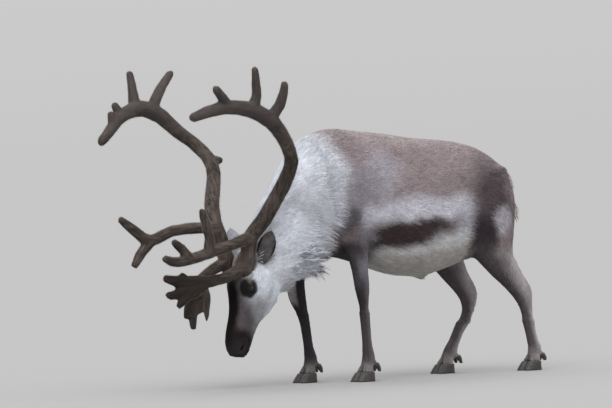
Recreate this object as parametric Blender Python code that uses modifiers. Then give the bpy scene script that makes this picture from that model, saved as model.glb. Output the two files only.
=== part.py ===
"""A reindeer bull in summer velvet, grazing with its head down, life size, as closed solids.

The animal faces -X and its left side is -Y.  Lengths are metres.  Each soft part is lofted through
a few named sections, the lofts of one region are fused and evened out, and thin cuts then part the
animal into its named pieces.  Last of all the whole is moved so that the feet stand on z = 0 round
the middle of the animal.
"""
import math
import random

import bmesh
import bpy
import numpy as np
from mathutils import Matrix, Vector
from mathutils.bvhtree import BVHTree

# General sizes
GAP = 0.0003            # left between two pieces that touch
BIG = 3.0               # half size of a cutter that stands for a half space
RING = 20               # points round a section of the trunk, neck or head
LEG_RING = 16           # points round a section of a leg
LIMB_RING = 12          # points round a section of an antler or the tail
SMALL_RING = 14         # points round an ear or a toe
SIDE = Vector((0.0, 1.0, 0.0))

# How each fused region is evened out: size of its cells, rounds of smoothing, triangles left
FINISH = {
    "trunk": (0.007, 8, 2400),
    "neck": (0.006, 6, 2300),
    "head": (0.0035, 5, 1700),
    "leg": (0.004, 5, 560),
    "antler": (0.005, 6, 1020),
    "ear": (0.0025, 1, 300),
}

# Where the head sits: its origin is midway between the antler bases
HEAD_ORIGIN = Vector((-0.467, -0.050, 0.511))
HEAD_YAW = math.radians(8.0)       # turned to the animal's left
HEAD_PITCH = math.radians(80.0)    # the face hangs almost straight down

# Trunk sections from the brisket to the rump:
# x, height of the back, height of the underside, half width, how much wider the lower half is
TRUNK = (
    (-0.225, 0.800, 0.640, 0.070, -0.20),
    (-0.190, 0.900, 0.575, 0.115, -0.20),
    (-0.130, 1.010, 0.540, 0.145, -0.25),
    (-0.050, 1.070, 0.530, 0.165, -0.25),
    (0.040, 1.093, 0.522, 0.180, -0.20),
    (0.150, 1.077, 0.490, 0.203, -0.05),
    (0.250, 1.068, 0.452, 0.228, 0.08),
    (0.340, 1.053, 0.428, 0.242, 0.16),
    (0.430, 1.037, 0.424, 0.247, 0.14),
    (0.520, 1.028, 0.434, 0.240, 0.10),
    (0.610, 1.020, 0.462, 0.226, 0.05),
    (0.680, 1.007, 0.485, 0.212, 0.02),
    (0.740, 0.987, 0.503, 0.200, 0.00),
    (0.800, 0.955, 0.525, 0.180, 0.00),
    (0.850, 0.915, 0.560, 0.154, 0.00),
    (0.885, 0.875, 0.610, 0.116, 0.00),
    (0.905, 0.840, 0.670, 0.066, 0.00),
)

# Neck sections from inside the shoulders to the nape:
# crest x and z, throat x and z, sideways shift, half width
NECK = (
    (0.020, 1.060, 0.140, 0.600, 0.000, 0.140),
    (-0.060, 1.062, 0.070, 0.560, 0.000, 0.150),
    (-0.130, 1.030, 0.015, 0.532, -0.002, 0.148),
    (-0.208, 0.940, -0.040, 0.516, -0.006, 0.138),
    (-0.262, 0.868, -0.085, 0.500, -0.012, 0.128),
    (-0.315, 0.795, -0.130, 0.484, -0.020, 0.118),
    (-0.366, 0.715, -0.176, 0.464, -0.030, 0.108),
    (-0.408, 0.640, -0.214, 0.432, -0.040, 0.098),
    (-0.440, 0.580, -0.250, 0.386, -0.048, 0.088),
    (-0.455, 0.520, -0.290, 0.342, -0.052, 0.076),
    (-0.464, 0.465, -0.338, 0.302, -0.058, 0.050),
)

# Head sections from the nape to the nose, in the head's own frame:
# distance towards the nose, height of the upper line, height of the lower line, half width
HEAD = (
    (-0.085, 0.000, -0.170, 0.062),
    (-0.050, 0.018, -0.215, 0.074),
    (0.000, 0.024, -0.232, 0.082),
    (0.045, 0.026, -0.228, 0.085),
    (0.085, 0.022, -0.230, 0.083),
    (0.125, 0.014, -0.220, 0.074),
    (0.165, 0.009, -0.195, 0.063),
    (0.205, 0.009, -0.160, 0.055),
    (0.245, 0.012, -0.126, 0.050),
    (0.285, 0.014, -0.109, 0.049),
    (0.320, 0.010, -0.100, 0.049),
    (0.350, -0.002, -0.088, 0.044),
    (0.372, -0.020, -0.072, 0.032),
)

# Legs.  Rows run from inside the trunk to the pastern: x, z, half depth, half width.  The upper part
# of a leg is cut from the trunk by a box: its front and back, how near it comes to the middle of the
# animal, and its top.  The lower part begins at the split
LEGS = {
    "front_left": {
        "side": -0.130,
        "rows": (
            (0.010, 0.880, 0.100, 0.030),
            (0.005, 0.760, 0.115, 0.050),
            (0.055, 0.655, 0.078, 0.053),
            (0.076, 0.560, 0.054, 0.046),
            (0.086, 0.475, 0.040, 0.037),
            (0.093, 0.405, 0.038, 0.036),
            (0.095, 0.365, 0.032, 0.031),
            (0.098, 0.320, 0.025, 0.025),
            (0.102, 0.240, 0.0225, 0.023),
            (0.106, 0.160, 0.0225, 0.023),
            (0.110, 0.100, 0.029, 0.030),
            (0.100, 0.062, 0.026, 0.029),
        ),
        "toe_x": 0.078,
        "cut": (-0.005, 0.155, 0.060, 0.615),
        "split_z": 0.300,
    },
    "front_right": {
        "side": 0.120,
        "rows": (
            (0.000, 0.880, 0.100, 0.030),
            (-0.035, 0.760, 0.115, 0.050),
            (-0.008, 0.655, 0.078, 0.053),
            (-0.048, 0.560, 0.055, 0.046),
            (-0.080, 0.465, 0.042, 0.037),
            (-0.088, 0.392, 0.044, 0.038),
            (-0.076, 0.345, 0.040, 0.035),
            (-0.058, 0.290, 0.026, 0.026),
            (-0.046, 0.220, 0.0225, 0.023),
            (-0.038, 0.150, 0.0225, 0.023),
            (-0.030, 0.100, 0.029, 0.030),
            (-0.040, 0.062, 0.026, 0.029),
        ),
        "toe_x": -0.062,
        "cut": (-0.141, 0.045, 0.060, 0.615),
        "split_z": 0.300,
    },
    "hind_left": {
        "side": -0.120,
        "rows": (
            (0.700, 0.880, 0.140, 0.070),
            (0.722, 0.730, 0.160, 0.102),
            (0.745, 0.605, 0.128, 0.094),
            (0.778, 0.495, 0.084, 0.070),
            (0.833, 0.410, 0.053, 0.051),
            (0.882, 0.350, 0.043, 0.037),
            (0.912, 0.300, 0.041, 0.033),
            (0.920, 0.250, 0.031, 0.028),
            (0.930, 0.190, 0.026, 0.025),
            (0.943, 0.130, 0.025, 0.025),
            (0.952, 0.095, 0.030, 0.031),
            (0.944, 0.060, 0.027, 0.030),
        ),
        "toe_x": 0.922,
        "cut": (0.635, 0.975, 0.028, 0.560),
        "heel": ((0.850, 0.500, 0.026), (0.900, 0.420, 0.018), (0.940, 0.352, 0.024), (0.938, 0.300, 0.020)),
        "split_z": 0.225,
    },
    "hind_right": {
        "side": 0.120,
        "rows": (
            (0.660, 0.880, 0.140, 0.070),
            (0.655, 0.730, 0.155, 0.102),
            (0.648, 0.605, 0.124, 0.094),
            (0.672, 0.495, 0.084, 0.070),
            (0.715, 0.410, 0.053, 0.051),
            (0.755, 0.350, 0.042, 0.037),
            (0.778, 0.305, 0.041, 0.033),
            (0.762, 0.250, 0.031, 0.028),
            (0.722, 0.190, 0.026, 0.025),
            (0.692, 0.135, 0.025, 0.025),
            (0.672, 0.098, 0.030, 0.031),
            (0.652, 0.062, 0.027, 0.030),
        ),
        "toe_x": 0.628,
        "cut": (0.540, 0.860, 0.028, 0.560),
        "heel": ((0.738, 0.500, 0.026), (0.775, 0.420, 0.018), (0.812, 0.352, 0.024), (0.800, 0.300, 0.020)),
        "split_z": 0.225,
    },
}

# Antler branches in the head's frame: back from the antler bases, up from the forehead,
# out to the antler's own side, radius.  The two antlers of a bull differ, so each has its own
ANTLERS = {
    "left": {
        "beam": (
            (-0.030, -0.035, 0.046, 0.030),
            (-0.006, -0.008, 0.053, 0.036),
            (0.068, -0.003, 0.062, 0.033),
            (0.126, 0.003, 0.075, 0.033),
            (0.207, -0.032, 0.110, 0.034),
            (0.311, -0.055, 0.160, 0.033),
            (0.409, -0.058, 0.220, 0.031),
            (0.470, -0.029, 0.262, 0.030),
            (0.541, 0.060, 0.310, 0.031),
            (0.596, 0.165, 0.345, 0.034),
            (0.620, 0.287, 0.365, 0.033),
            (0.614, 0.401, 0.365, 0.029),
            (0.583, 0.486, 0.345, 0.025),
            (0.553, 0.540, 0.325, 0.022),
        ),
        "back_tine": (
            (0.600, 0.165, 0.345, 0.026),
            (0.650, 0.140, 0.362, 0.024),
            (0.705, 0.135, 0.382, 0.021),
            (0.745, 0.142, 0.396, 0.018),
        ),
        "middle_tine": (
            (0.620, 0.275, 0.362, 0.026),
            (0.675, 0.268, 0.375, 0.023),
            (0.735, 0.292, 0.394, 0.019),
            (0.782, 0.313, 0.408, 0.016),
        ),
        "front_tine": (
            (0.608, 0.395, 0.362, 0.024),
            (0.640, 0.430, 0.374, 0.022),
            (0.675, 0.486, 0.387, 0.019),
        ),
        "bez": (
            (0.122, 0.000, 0.076, 0.030),
            (0.110, 0.050, 0.090, 0.026),
            (0.076, 0.127, 0.105, 0.024),
            (0.022, 0.269, 0.135, 0.024),
            (-0.026, 0.400, 0.153, 0.023),
            (-0.034, 0.455, 0.158, 0.021),
            (-0.027, 0.492, 0.160, 0.018),
        ),
        "bez_long_tine": (
            (0.035, 0.256, 0.138, 0.024),
            (0.085, 0.270, 0.150, 0.022),
            (0.140, 0.302, 0.160, 0.020),
            (0.190, 0.336, 0.169, 0.017),
        ),
        "bez_short_tine": (
            (-0.005, 0.370, 0.150, 0.023),
            (0.025, 0.410, 0.155, 0.020),
            (0.045, 0.455, 0.160, 0.017),
        ),
        "brow": (
            (0.014, -0.004, 0.055, 0.030),
            (-0.024, 0.048, 0.055, 0.025),
            (-0.055, 0.095, 0.050, 0.024),
            (-0.078, 0.165, 0.040, 0.026),
            (-0.092, 0.234, 0.030, 0.031),
            (-0.098, 0.310, 0.024, 0.027),
            (-0.094, 0.378, 0.020, 0.019),
        ),
        "brow_top_tine": (
            (-0.095, 0.265, 0.028, 0.022),
            (-0.076, 0.300, 0.030, 0.019),
        ),
        "brow_low_tine": (
            (-0.100, 0.235, 0.030, 0.028),
            (-0.135, 0.290, 0.026, 0.024),
            (-0.160, 0.335, 0.020, 0.020),
            (-0.160, 0.358, 0.020, 0.017),
        ),
        "brow_under_tine": (
            (-0.095, 0.200, 0.034, 0.028),
            (-0.150, 0.262, 0.030, 0.024),
            (-0.195, 0.300, 0.026, 0.018),
        ),
        "brow_web": (
            (-0.088, 0.190, 0.035, 0.034),
            (-0.112, 0.234, 0.031, 0.046),
            (-0.130, 0.272, 0.027, 0.042),
            (-0.140, 0.296, 0.025, 0.030),
        ),
    },
    "right": {
        "beam": (
            (-0.030, -0.035, 0.046, 0.030),
            (-0.004, -0.006, 0.053, 0.036),
            (0.064, 0.030, 0.062, 0.033),
            (0.122, 0.048, 0.075, 0.033),
            (0.197, 0.066, 0.110, 0.034),
            (0.286, 0.046, 0.160, 0.033),
            (0.390, 0.002, 0.220, 0.031),
            (0.462, 0.000, 0.262, 0.029),
            (0.521, 0.040, 0.310, 0.028),
            (0.572, 0.122, 0.345, 0.030),
            (0.630, 0.216, 0.365, 0.034),
            (0.645, 0.319, 0.365, 0.034),
            (0.598, 0.423, 0.345, 0.029),
            (0.540, 0.475, 0.335, 0.025),
            (0.472, 0.528, 0.324, 0.021),
        ),
        "beam_spur": (
            (0.462, 0.000, 0.256, 0.024),
            (0.472, -0.052, 0.265, 0.017),
        ),
        "back_tine": (
            (0.636, 0.262, 0.365, 0.027),
            (0.700, 0.232, 0.376, 0.024),
            (0.765, 0.195, 0.388, 0.021),
            (0.820, 0.154, 0.398, 0.017),
        ),
        "middle_tine": (
            (0.640, 0.345, 0.365, 0.027),
            (0.700, 0.352, 0.378, 0.023),
            (0.755, 0.360, 0.390, 0.019),
            (0.787, 0.366, 0.398, 0.016),
        ),
        "front_tine": (
            (0.596, 0.430, 0.345, 0.023),
            (0.635, 0.460, 0.350, 0.017),
        ),
        "low_tine": (
            (0.552, 0.470, 0.335, 0.022),
            (0.595, 0.485, 0.340, 0.016),
        ),
        "bez": (
            (0.122, 0.040, 0.073, 0.030),
            (0.148, 0.085, 0.082, 0.027),
            (0.155, 0.135, 0.100, 0.025),
            (0.125, 0.255, 0.138, 0.024),
            (0.072, 0.352, 0.156, 0.026),
            (0.108, 0.440, 0.164, 0.022),
            (0.140, 0.500, 0.170, 0.017),
        ),
        "bez_low_tine": (
            (0.072, 0.345, 0.155, 0.025),
            (0.015, 0.385, 0.163, 0.022),
            (-0.038, 0.408, 0.169, 0.017),
        ),
        "brow": (
            (0.028, 0.010, 0.055, 0.030),
            (-0.010, 0.070, 0.060, 0.025),
            (-0.045, 0.115, 0.062, 0.024),
            (-0.085, 0.150, 0.062, 0.026),
            (-0.140, 0.172, 0.061, 0.028),
            (-0.200, 0.188, 0.060, 0.023),
            (-0.228, 0.193, 0.060, 0.017),
        ),
        "brow_middle_tine": (
            (-0.130, 0.160, 0.060, 0.026),
            (-0.200, 0.165, 0.058, 0.022),
            (-0.268, 0.155, 0.060, 0.017),
        ),
        "brow_back_tine": (
            (-0.085, 0.135, 0.058, 0.026),
            (-0.140, 0.108, 0.052, 0.024),
            (-0.195, 0.092, 0.050, 0.021),
            (-0.232, 0.083, 0.050, 0.017),
        ),
        "brow_web": (
            (-0.088, 0.145, 0.060, 0.032),
            (-0.126, 0.143, 0.058, 0.042),
            (-0.165, 0.140, 0.057, 0.038),
            (-0.190, 0.138, 0.057, 0.026),
        ),
    },
}
# How thick a branch is from side to side, against its height; the rest are round
FLATNESS = {"brow_web": 0.46, "brow": 0.72}

# Where each antler is parted: name of the piece cut off, a point on the cut, a direction
# that leads out into the piece, and the half size of the cut, all in the head's frame
ANTLER_CUTS = {
    "left": (
        ("brow", (-0.036, 0.066, 0.054), (-0.52, 0.85, 0.0), 0.050),
        ("bez", (0.112, 0.042, 0.088), (-0.20, 0.95, 0.2), 0.048),
        ("palm", (0.560, 0.092, 0.322), (0.50, 0.80, 0.3), 0.080),
        ("beam", (0.255, -0.044, 0.133), (0.85, -0.15, 0.45), 0.080),
    ),
    "right": (
        ("brow", (-0.024, 0.086, 0.061), (-0.62, 0.78, 0.0), 0.050),
        ("bez", (0.155, 0.126, 0.096), (0.0, 0.97, 0.25), 0.042),
        ("palm", (0.548, 0.068, 0.326), (0.50, 0.80, 0.3), 0.080),
        ("beam", (0.240, 0.058, 0.133), (0.85, -0.15, 0.45), 0.080),
    ),
}


# Colour and roughness of each material
MATERIALS = {
    "pale_coat": ((0.62, 0.61, 0.60, 1.0), 0.85),
    "brown_coat": ((0.26, 0.22, 0.20, 1.0), 0.85),
    "velvet": ((0.20, 0.17, 0.15, 1.0), 0.90),
    "horn": ((0.035, 0.030, 0.028, 1.0), 0.45),
    "eye": ((0.010, 0.008, 0.007, 1.0), 0.08),
}
# The first word of a piece's name tells its material
PIECE_MATERIALS = {
    "antler": "velvet",
    "dewclaw": "horn",
    "ear": "brown_coat",
    "eye": "eye",
    "head": "pale_coat",
    "hoof": "horn",
    "lower": "brown_coat",
    "neck": "pale_coat",
    "tail": "pale_coat",
    "thigh": "brown_coat",
    "torso": "brown_coat",
    "upper": "brown_coat",
}


def clean_scene():
    for item in list(bpy.data.objects):
        bpy.data.objects.remove(item, do_unlink=True)


def make_material(name):
    colour, roughness = MATERIALS[name]
    material = bpy.data.materials.new(name)
    material.use_nodes = True
    shader = material.node_tree.nodes["Principled BSDF"]
    shader.inputs["Base Color"].default_value = colour
    shader.inputs["Roughness"].default_value = roughness
    return material


def head_matrix():
    """The head's frame: its x leads back from the face, y up from the forehead, z to the left."""
    level = Vector((-math.cos(HEAD_YAW), -math.sin(HEAD_YAW), 0.0))
    left = Vector((0.0, 0.0, 1.0)).cross(level)
    forward = level * math.cos(HEAD_PITCH) - Vector((0.0, 0.0, math.sin(HEAD_PITCH)))
    upward = level * math.sin(HEAD_PITCH) + Vector((0.0, 0.0, math.cos(HEAD_PITCH)))
    frame = Matrix((-forward, upward, left)).transposed().to_4x4()
    return Matrix.Translation(HEAD_ORIGIN) @ frame


HEAD_FRAME = head_matrix()


def on_head(back, up, left):
    return HEAD_FRAME @ Vector((back, up, left))


def signed_power(value, exponent):
    return math.copysign(abs(value) ** exponent, value)


def section(middle, tall, wide, wider=0.0, count=RING, power=2.25):
    """Points of one rounded section; tall and wide reach from the middle to its edge."""
    ring = []
    for step in range(count):
        angle = math.tau * step / count
        height = signed_power(math.sin(angle), 2.0 / power)
        width = signed_power(math.cos(angle), 2.0 / power)
        ring.append(middle + tall * height + wide * (width * (1.0 - wider * height)))
    return ring


def smooth_rows(rows, steps):
    """More rows along a smooth curve through the given ones."""
    rows = [np.array(row, dtype=float) for row in rows]
    padded = [2 * rows[0] - rows[1]] + rows + [2 * rows[-1] - rows[-2]]
    result = []
    for before, start, end, after in zip(padded, padded[1:], padded[2:], padded[3:]):
        for step in range(steps):
            t = step / steps
            result.append(0.5 * (
                2 * start
                + (end - before) * t
                + (2 * before - 5 * start + 4 * end - after) * t ** 2
                + (3 * start - 3 * end + after - before) * t ** 3
            ))
    result.append(rows[-1])
    return result


def add_loft(mesh, rings):
    """Skin a run of rings into one closed shell of the mesh."""
    rows = [[mesh.verts.new(point) for point in ring] for ring in rings]
    count = len(rows[0])
    for lower, upper in zip(rows, rows[1:]):
        for step in range(count):
            following = (step + 1) % count
            mesh.faces.new((lower[step], lower[following], upper[following], upper[step]))
    mesh.faces.new(list(reversed(rows[0])))
    mesh.faces.new(rows[-1])


def tube_rings(rows, side, count=LIMB_RING, flat=1.0, rounded=0):
    """Round rings along rows of x, y, z, radius; side is the direction in which flat thins them."""
    points = [Vector(row[:3]) for row in rows]
    radii = [row[3] for row in rows]
    if rounded:
        out = (points[-1] - points[-2]).normalized()
        tip, radius = points[-1].copy(), radii[-1]
        for step in range(1, rounded + 1):
            angle = 0.5 * math.pi * step / (rounded + 0.35)
            points.append(tip + out * (radius * math.sin(angle)))
            radii.append(radius * math.cos(angle))
    rings = []
    for place, (point, radius) in enumerate(zip(points, radii)):
        ahead = points[min(place + 1, len(points) - 1)]
        behind = points[max(place - 1, 0)]
        along = (ahead - behind).normalized()
        wide = (side - along * side.dot(along)).normalized()
        tall = along.cross(wide)
        rings.append(section(point, tall * radius, wide * (radius * flat), count=count, power=2.0))
    return rings


def mesh_object(name, mesh):
    bmesh.ops.recalc_face_normals(mesh, faces=mesh.faces)
    data = bpy.data.meshes.new(name)
    mesh.to_mesh(data)
    mesh.free()
    item = bpy.data.objects.new(name, data)
    bpy.context.scene.collection.objects.link(item)
    return item


def apply_modifiers(item):
    graph = bpy.context.evaluated_depsgraph_get()
    data = bpy.data.meshes.new_from_object(item.evaluated_get(graph))
    old = item.data
    item.modifiers.clear()
    item.data = data
    bpy.data.meshes.remove(old)


def even_out(item, region):
    """Fuse the shells of an object, soften the joins and keep about so many triangles."""
    voxel, rounds, faces = FINISH[region]
    fuse = item.modifiers.new("fuse", "REMESH")
    fuse.mode = "VOXEL"
    fuse.voxel_size = voxel
    fuse.adaptivity = 0.0
    soften = item.modifiers.new("soften", "SMOOTH")
    soften.factor = 0.5
    soften.iterations = rounds
    apply_modifiers(item)
    thin = item.modifiers.new("thin", "DECIMATE")
    thin.ratio = faces / (2.0 * len(item.data.polygons))
    thin.use_collapse_triangulate = True
    apply_modifiers(item)


def copy_of(item, name):
    twin = bpy.data.objects.new(name, item.data.copy())
    bpy.context.scene.collection.objects.link(twin)
    return twin


def discard(item):
    data = item.data
    bpy.data.objects.remove(item, do_unlink=True)
    bpy.data.meshes.remove(data)


def combine(item, tool, operation):
    """Change an object by a tool object, which stays as it is."""
    change = item.modifiers.new("change", "BOOLEAN")
    change.operation = operation
    change.solver = "EXACT"
    change.object = tool
    apply_modifiers(item)


def surfaces(mesh):
    """The vertices of each closed surface of a mesh, the largest last."""
    left = set(mesh.verts)
    groups = []
    while left:
        start = left.pop()
        group, edge = {start}, [start]
        while edge:
            for link in edge.pop().link_edges:
                for vert in link.verts:
                    if vert in left:
                        left.remove(vert)
                        group.add(vert)
                        edge.append(vert)
        groups.append(group)
    groups.sort(key=len)
    return groups


def keep_surface(item, choose):
    """Leave only one closed surface of an object, the one that choose picks from their list."""
    mesh = bmesh.new()
    mesh.from_mesh(item.data)
    groups = surfaces(mesh)
    kept = choose(groups)
    for group in groups:
        if group is not kept:
            bmesh.ops.delete(mesh, geom=list(group), context="VERTS")
    bmesh.ops.triangulate(mesh, faces=mesh.faces)
    mesh.to_mesh(item.data)
    mesh.free()


def keep_largest(item):
    keep_surface(item, lambda groups: groups[-1])


def nearest_surface(spot):
    """A chooser of the surface that comes nearest to a spot."""
    def choose(groups):
        return min(groups, key=lambda group: min((vert.co - spot).length for vert in group))
    return choose


def box(name, middle, half, turn=None):
    """A cutter; turn holds the directions of its three sides."""
    mesh = bmesh.new()
    bmesh.ops.create_cube(mesh, size=2.0)
    frame = turn if turn is not None else Matrix.Identity(3)
    place = Matrix.Translation(middle) @ frame.to_4x4() @ Matrix.Diagonal((*half, 1.0))
    bmesh.ops.transform(mesh, matrix=place, verts=mesh.verts)
    return mesh_object(name, mesh)


def slab_frame(out):
    """Directions of a box whose first side leads along out."""
    out = Vector(out).normalized()
    helper = SIDE if abs(out.y) < 0.8 else Vector((1.0, 0.0, 0.0))
    across = out.cross(helper).normalized()
    return Matrix((out, across, out.cross(across))).transposed()


def part_off(item, name, point, out, reach=BIG, width=BIG):
    """Cut an object at a plane and return what lies ahead of it, GAP clear of the rest."""
    frame = slab_frame(out)
    out = Vector(out).normalized()
    point = Vector(point)
    half = (0.5 * reach, width, width)
    ahead = box("ahead", point + out * (0.5 * reach + 0.5 * GAP), half, frame)
    grown = (0.5 * reach + GAP, width + GAP, width + GAP)
    behind = box("behind", point + out * (0.5 * reach + 0.5 * GAP), grown, frame)
    piece = copy_of(item, name)
    combine(piece, ahead, "INTERSECT")
    combine(item, behind, "DIFFERENCE")
    discard(ahead)
    discard(behind)
    keep_largest(piece)
    keep_largest(item)
    return piece


def sever(item, name, point, out, width):
    """Cut a branching object at a small slab and return the branch that lies beyond it."""
    out = Vector(out).normalized()
    point = Vector(point)
    slab = box("slab", point, (0.5 * GAP, width, width), slab_frame(out))
    combine(item, slab, "DIFFERENCE")
    discard(slab)
    branch = copy_of(item, name)
    keep_surface(branch, nearest_surface(point + out * width))
    keep_surface(item, nearest_surface(point - out * width))
    return branch


# Cuts between the big pieces: a point on the cut and the direction out of the trunk
NECK_CUT = (Vector((-0.075, 0.0, 0.800)), Vector((-0.990, 0.0, -0.150)))
HEAD_CUT_BACK = 0.060              # how far behind the antler bases the head ends, on its own axis
HEAD_CUT_LEAN = 0.66               # how much the cut leans towards the jaw angle
LEG_BOX_WIDTH = 0.240
TAIL_CUT = Vector((0.906, 0.0, 0.765))

TAIL_ROWS = (
    (0.855, 0.0, 0.868, 0.030),
    (0.902, 0.0, 0.845, 0.031),
    (0.922, 0.0, 0.800, 0.028),
    (0.926, 0.0, 0.755, 0.023),
    (0.922, 0.0, 0.725, 0.015),
)
SHEATH_ROWS = (
    (0.400, 0.0, 0.480, 0.036),
    (0.440, 0.0, 0.440, 0.024),
    (0.468, 0.0, 0.412, 0.014),
)

# Long hair grows as flat locks.  Share of a lock's length, of its width and of its thickness
LOCK_PROFILE = (
    (0.00, 0.80, 1.00),
    (0.36, 1.00, 0.90),
    (0.72, 0.74, 0.62),
    (1.00, 0.12, 0.30),
)
# Length, half width, half thickness, how far it stands off the skin, how far it bends down
LOCK_KINDS = {
    "mane": (0.112, 0.019, 0.0080, 0.30, 0.14),
    "jaw": (0.060, 0.014, 0.0065, 0.26, 0.06),
    "tail": (0.085, 0.012, 0.0060, 0.26, 0.12),
}
LOCK_SINK = 0.011                  # depth of a root under the skin
LOCK_SEED = 11
ROOT_CLEAR = 0.006                 # distance of a root from the cut between two pieces
# The mane hangs from the throat: rows from the brisket to the jaw, as places in the neck's table,
# and how far up each side of the neck it grows
MANE_FROM = 5.2
MANE_TO = 8.6
MANE_ROWS = 7
MANE_COLUMNS = 10
MANE_SPREAD = math.radians(66.0)
JAW_ROWS = (0.128, 0.158, 0.186)   # distances towards the nose
JAW_COLUMNS = 5
TAIL_LOCK_ROWS = (0.840, 0.795, 0.750)
TAIL_LOCK_COLUMNS = 5

# Feet
TOE_TOP = 0.040                    # height of the coronet, where horn begins
TOE_OFFSET = 0.027                 # middle of a toe from the middle of the foot
TOE_SPLAY = math.radians(8.0)
# height, shift back, half length, half width
TOE_SECTIONS = (
    (0.040, 0.012, 0.030, 0.019),
    (0.022, 0.005, 0.037, 0.021),
    (0.003, 0.000, 0.044, 0.023),
    (0.000, 0.000, 0.042, 0.021),
)
TOE_WIDER_BEHIND = 0.22
TOE_POWER = 2.4
TOE_ROOT_RISE = 0.012              # how far the flesh of a toe runs past its two ends
TOE_ROOT_OFFSET = 0.012
TOE_ROOT_DEPTH = 0.022
TOE_ROOT_WIDTH = 0.018
# From the middle of the fetlock to the tip of a dewclaw: back, to its side, down, radius
DEWCLAW = (
    (0.004, 0.010, 0.010, 0.014),
    (0.022, 0.016, 0.024, 0.014),
    (0.036, 0.019, 0.042, 0.012),
    (0.040, 0.021, 0.058, 0.008),
)
DEWCLAW_FLATNESS = 0.85
DEWCLAW_CUT = 0.004                # how far past its second row a dewclaw's horn begins
HEEL_FLATNESS = 0.7

# Head details, in the head's frame: back, up, left for the left side of the face
EYE_MIDDLE = (-0.083, -0.036, 0.0615)
EYE_RADIUS = 0.0195
LID_LENGTH = 0.0190
LID_HEIGHT = 0.0135
LID_THICKNESS = 0.0052
EYE_SEGMENTS = 14
NOSTRIL = (-0.338, -0.034, 0.040)
NOSTRIL_SIZE = (0.013, 0.007, 0.012)
MOUTH_HEIGHT = -0.066
MOUTH_FROM = 0.292
MOUTH_TO = 0.366
MOUTH_OPENS = 0.02                 # the groove deepens over this length
MOUTH_CORNER = 0.0012
MOUTH_DEPTH = 0.0038
PEDICLE_RADIUS = 0.037
PEDICLE_SHARE = 0.3                # how far the skin climbs towards the antler's second fork point
EAR_STUB_DEPTH = 0.0155            # half sizes of the skin from which an ear grows
EAR_STUB_WIDTH = 0.018
EAR_STUB_LIFTS = (-0.030, 0.000, 0.008)
EAR_ROOT = (0.022, -0.064, 0.078)
EAR_TIP = {"left": (0.164, -0.080, 0.110), "right": (0.172, -0.032, 0.114)}
EAR_FACING = {"left": (0.05, 0.55, 0.83), "right": (0.05, -0.40, 0.90)}
# share of the length, half width, half thickness
EAR_SECTIONS = (
    (-0.12, 0.014, 0.014),
    (0.14, 0.022, 0.017),
    (0.32, 0.033, 0.018),
    (0.52, 0.038, 0.016),
    (0.70, 0.036, 0.012),
    (0.85, 0.026, 0.009),
    (0.95, 0.014, 0.006),
    (1.00, 0.004, 0.003),
)


def mirrored(spot, side):
    """A spot given for the left side of the head, on the asked side."""
    return (spot[0], spot[1], spot[2] if side == "left" else -spot[2])


def add_trunk(mesh):
    rings = []
    for x, top, bottom, width, wider in smooth_rows(TRUNK, 2):
        middle = Vector((x, 0.0, 0.5 * (top + bottom)))
        tall = Vector((0.0, 0.0, 0.5 * (top - bottom)))
        rings.append(section(middle, tall, Vector((0.0, width, 0.0)), wider))
    add_loft(mesh, rings)


def add_neck(mesh):
    rings = []
    for crest_x, crest_z, throat_x, throat_z, shift, width in smooth_rows(NECK, 2):
        crest = Vector((crest_x, shift, crest_z))
        throat = Vector((throat_x, shift, throat_z))
        rings.append(section(0.5 * (crest + throat), 0.5 * (crest - throat), Vector((0.0, width, 0.0))))
    add_loft(mesh, rings)


def add_head(mesh):
    rings = []
    for forward, top, bottom, width in smooth_rows(HEAD, 2):
        middle = on_head(-forward, 0.5 * (top + bottom), 0.0)
        tall = on_head(-forward, top, 0.0) - middle
        wide = on_head(-forward, 0.5 * (top + bottom), width) - middle
        rings.append(section(middle, tall, wide, -0.06, power=2.3))
    add_loft(mesh, rings)


def add_leg(mesh, leg, first, last):
    """The rows of one leg from first up to last."""
    rows = smooth_rows(leg["rows"][first:last], 3)
    points = [Vector((x, leg["side"], z)) for x, z, depth, width in rows]
    rings = []
    for place, (x, z, depth, width) in enumerate(rows):
        ahead = points[min(place + 1, len(points) - 1)]
        behind = points[max(place - 1, 0)]
        along = (ahead - behind).normalized()
        tall = along.cross(SIDE).normalized()
        rings.append(section(points[place], tall * depth, SIDE * width, count=LEG_RING))
    add_loft(mesh, rings)
    if "heel" in leg:
        heel = [(x, leg["side"], z, radius) for x, z, radius in leg["heel"]]
        add_loft(mesh, tube_rings(smooth_rows(heel, 2), SIDE, flat=HEEL_FLATNESS))


def toe_ring(leg, sign, height, shift, length, width):
    """One level section of a toe; the foot points to -X and its two toes spread."""
    forward = Vector((-math.cos(TOE_SPLAY), sign * math.sin(TOE_SPLAY), 0.0))
    across = Vector((sign * math.sin(TOE_SPLAY), math.cos(TOE_SPLAY), 0.0))
    middle = Vector((leg["toe_x"], leg["side"] + sign * TOE_OFFSET, height)) - forward * shift
    return section(middle, forward * length, across * width, TOE_WIDER_BEHIND, SMALL_RING, TOE_POWER)


def add_toe_roots(mesh, leg):
    """The fleshy part of both toes, up into the pastern."""
    pastern_x, pastern_z = leg["rows"][-1][:2]
    height, shift, length, width = TOE_SECTIONS[0]
    for sign in (-1.0, 1.0):
        low = toe_ring(leg, sign, height - TOE_ROOT_RISE, shift - 0.5 * TOE_ROOT_RISE, length, width)
        level = toe_ring(leg, sign, height, shift, length, width)
        middle = Vector((pastern_x, leg["side"] + sign * TOE_ROOT_OFFSET, pastern_z + TOE_ROOT_RISE))
        high = section(middle, Vector((-TOE_ROOT_DEPTH, 0.0, 0.0)), SIDE * TOE_ROOT_WIDTH, count=SMALL_RING)
        add_loft(mesh, [low, level, high])


def dewclaw_rows(leg, sign):
    x, z = leg["rows"][-2][:2]
    return [(x + back, leg["side"] + sign * out, z - down, radius) for back, out, down, radius in DEWCLAW]


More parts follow.
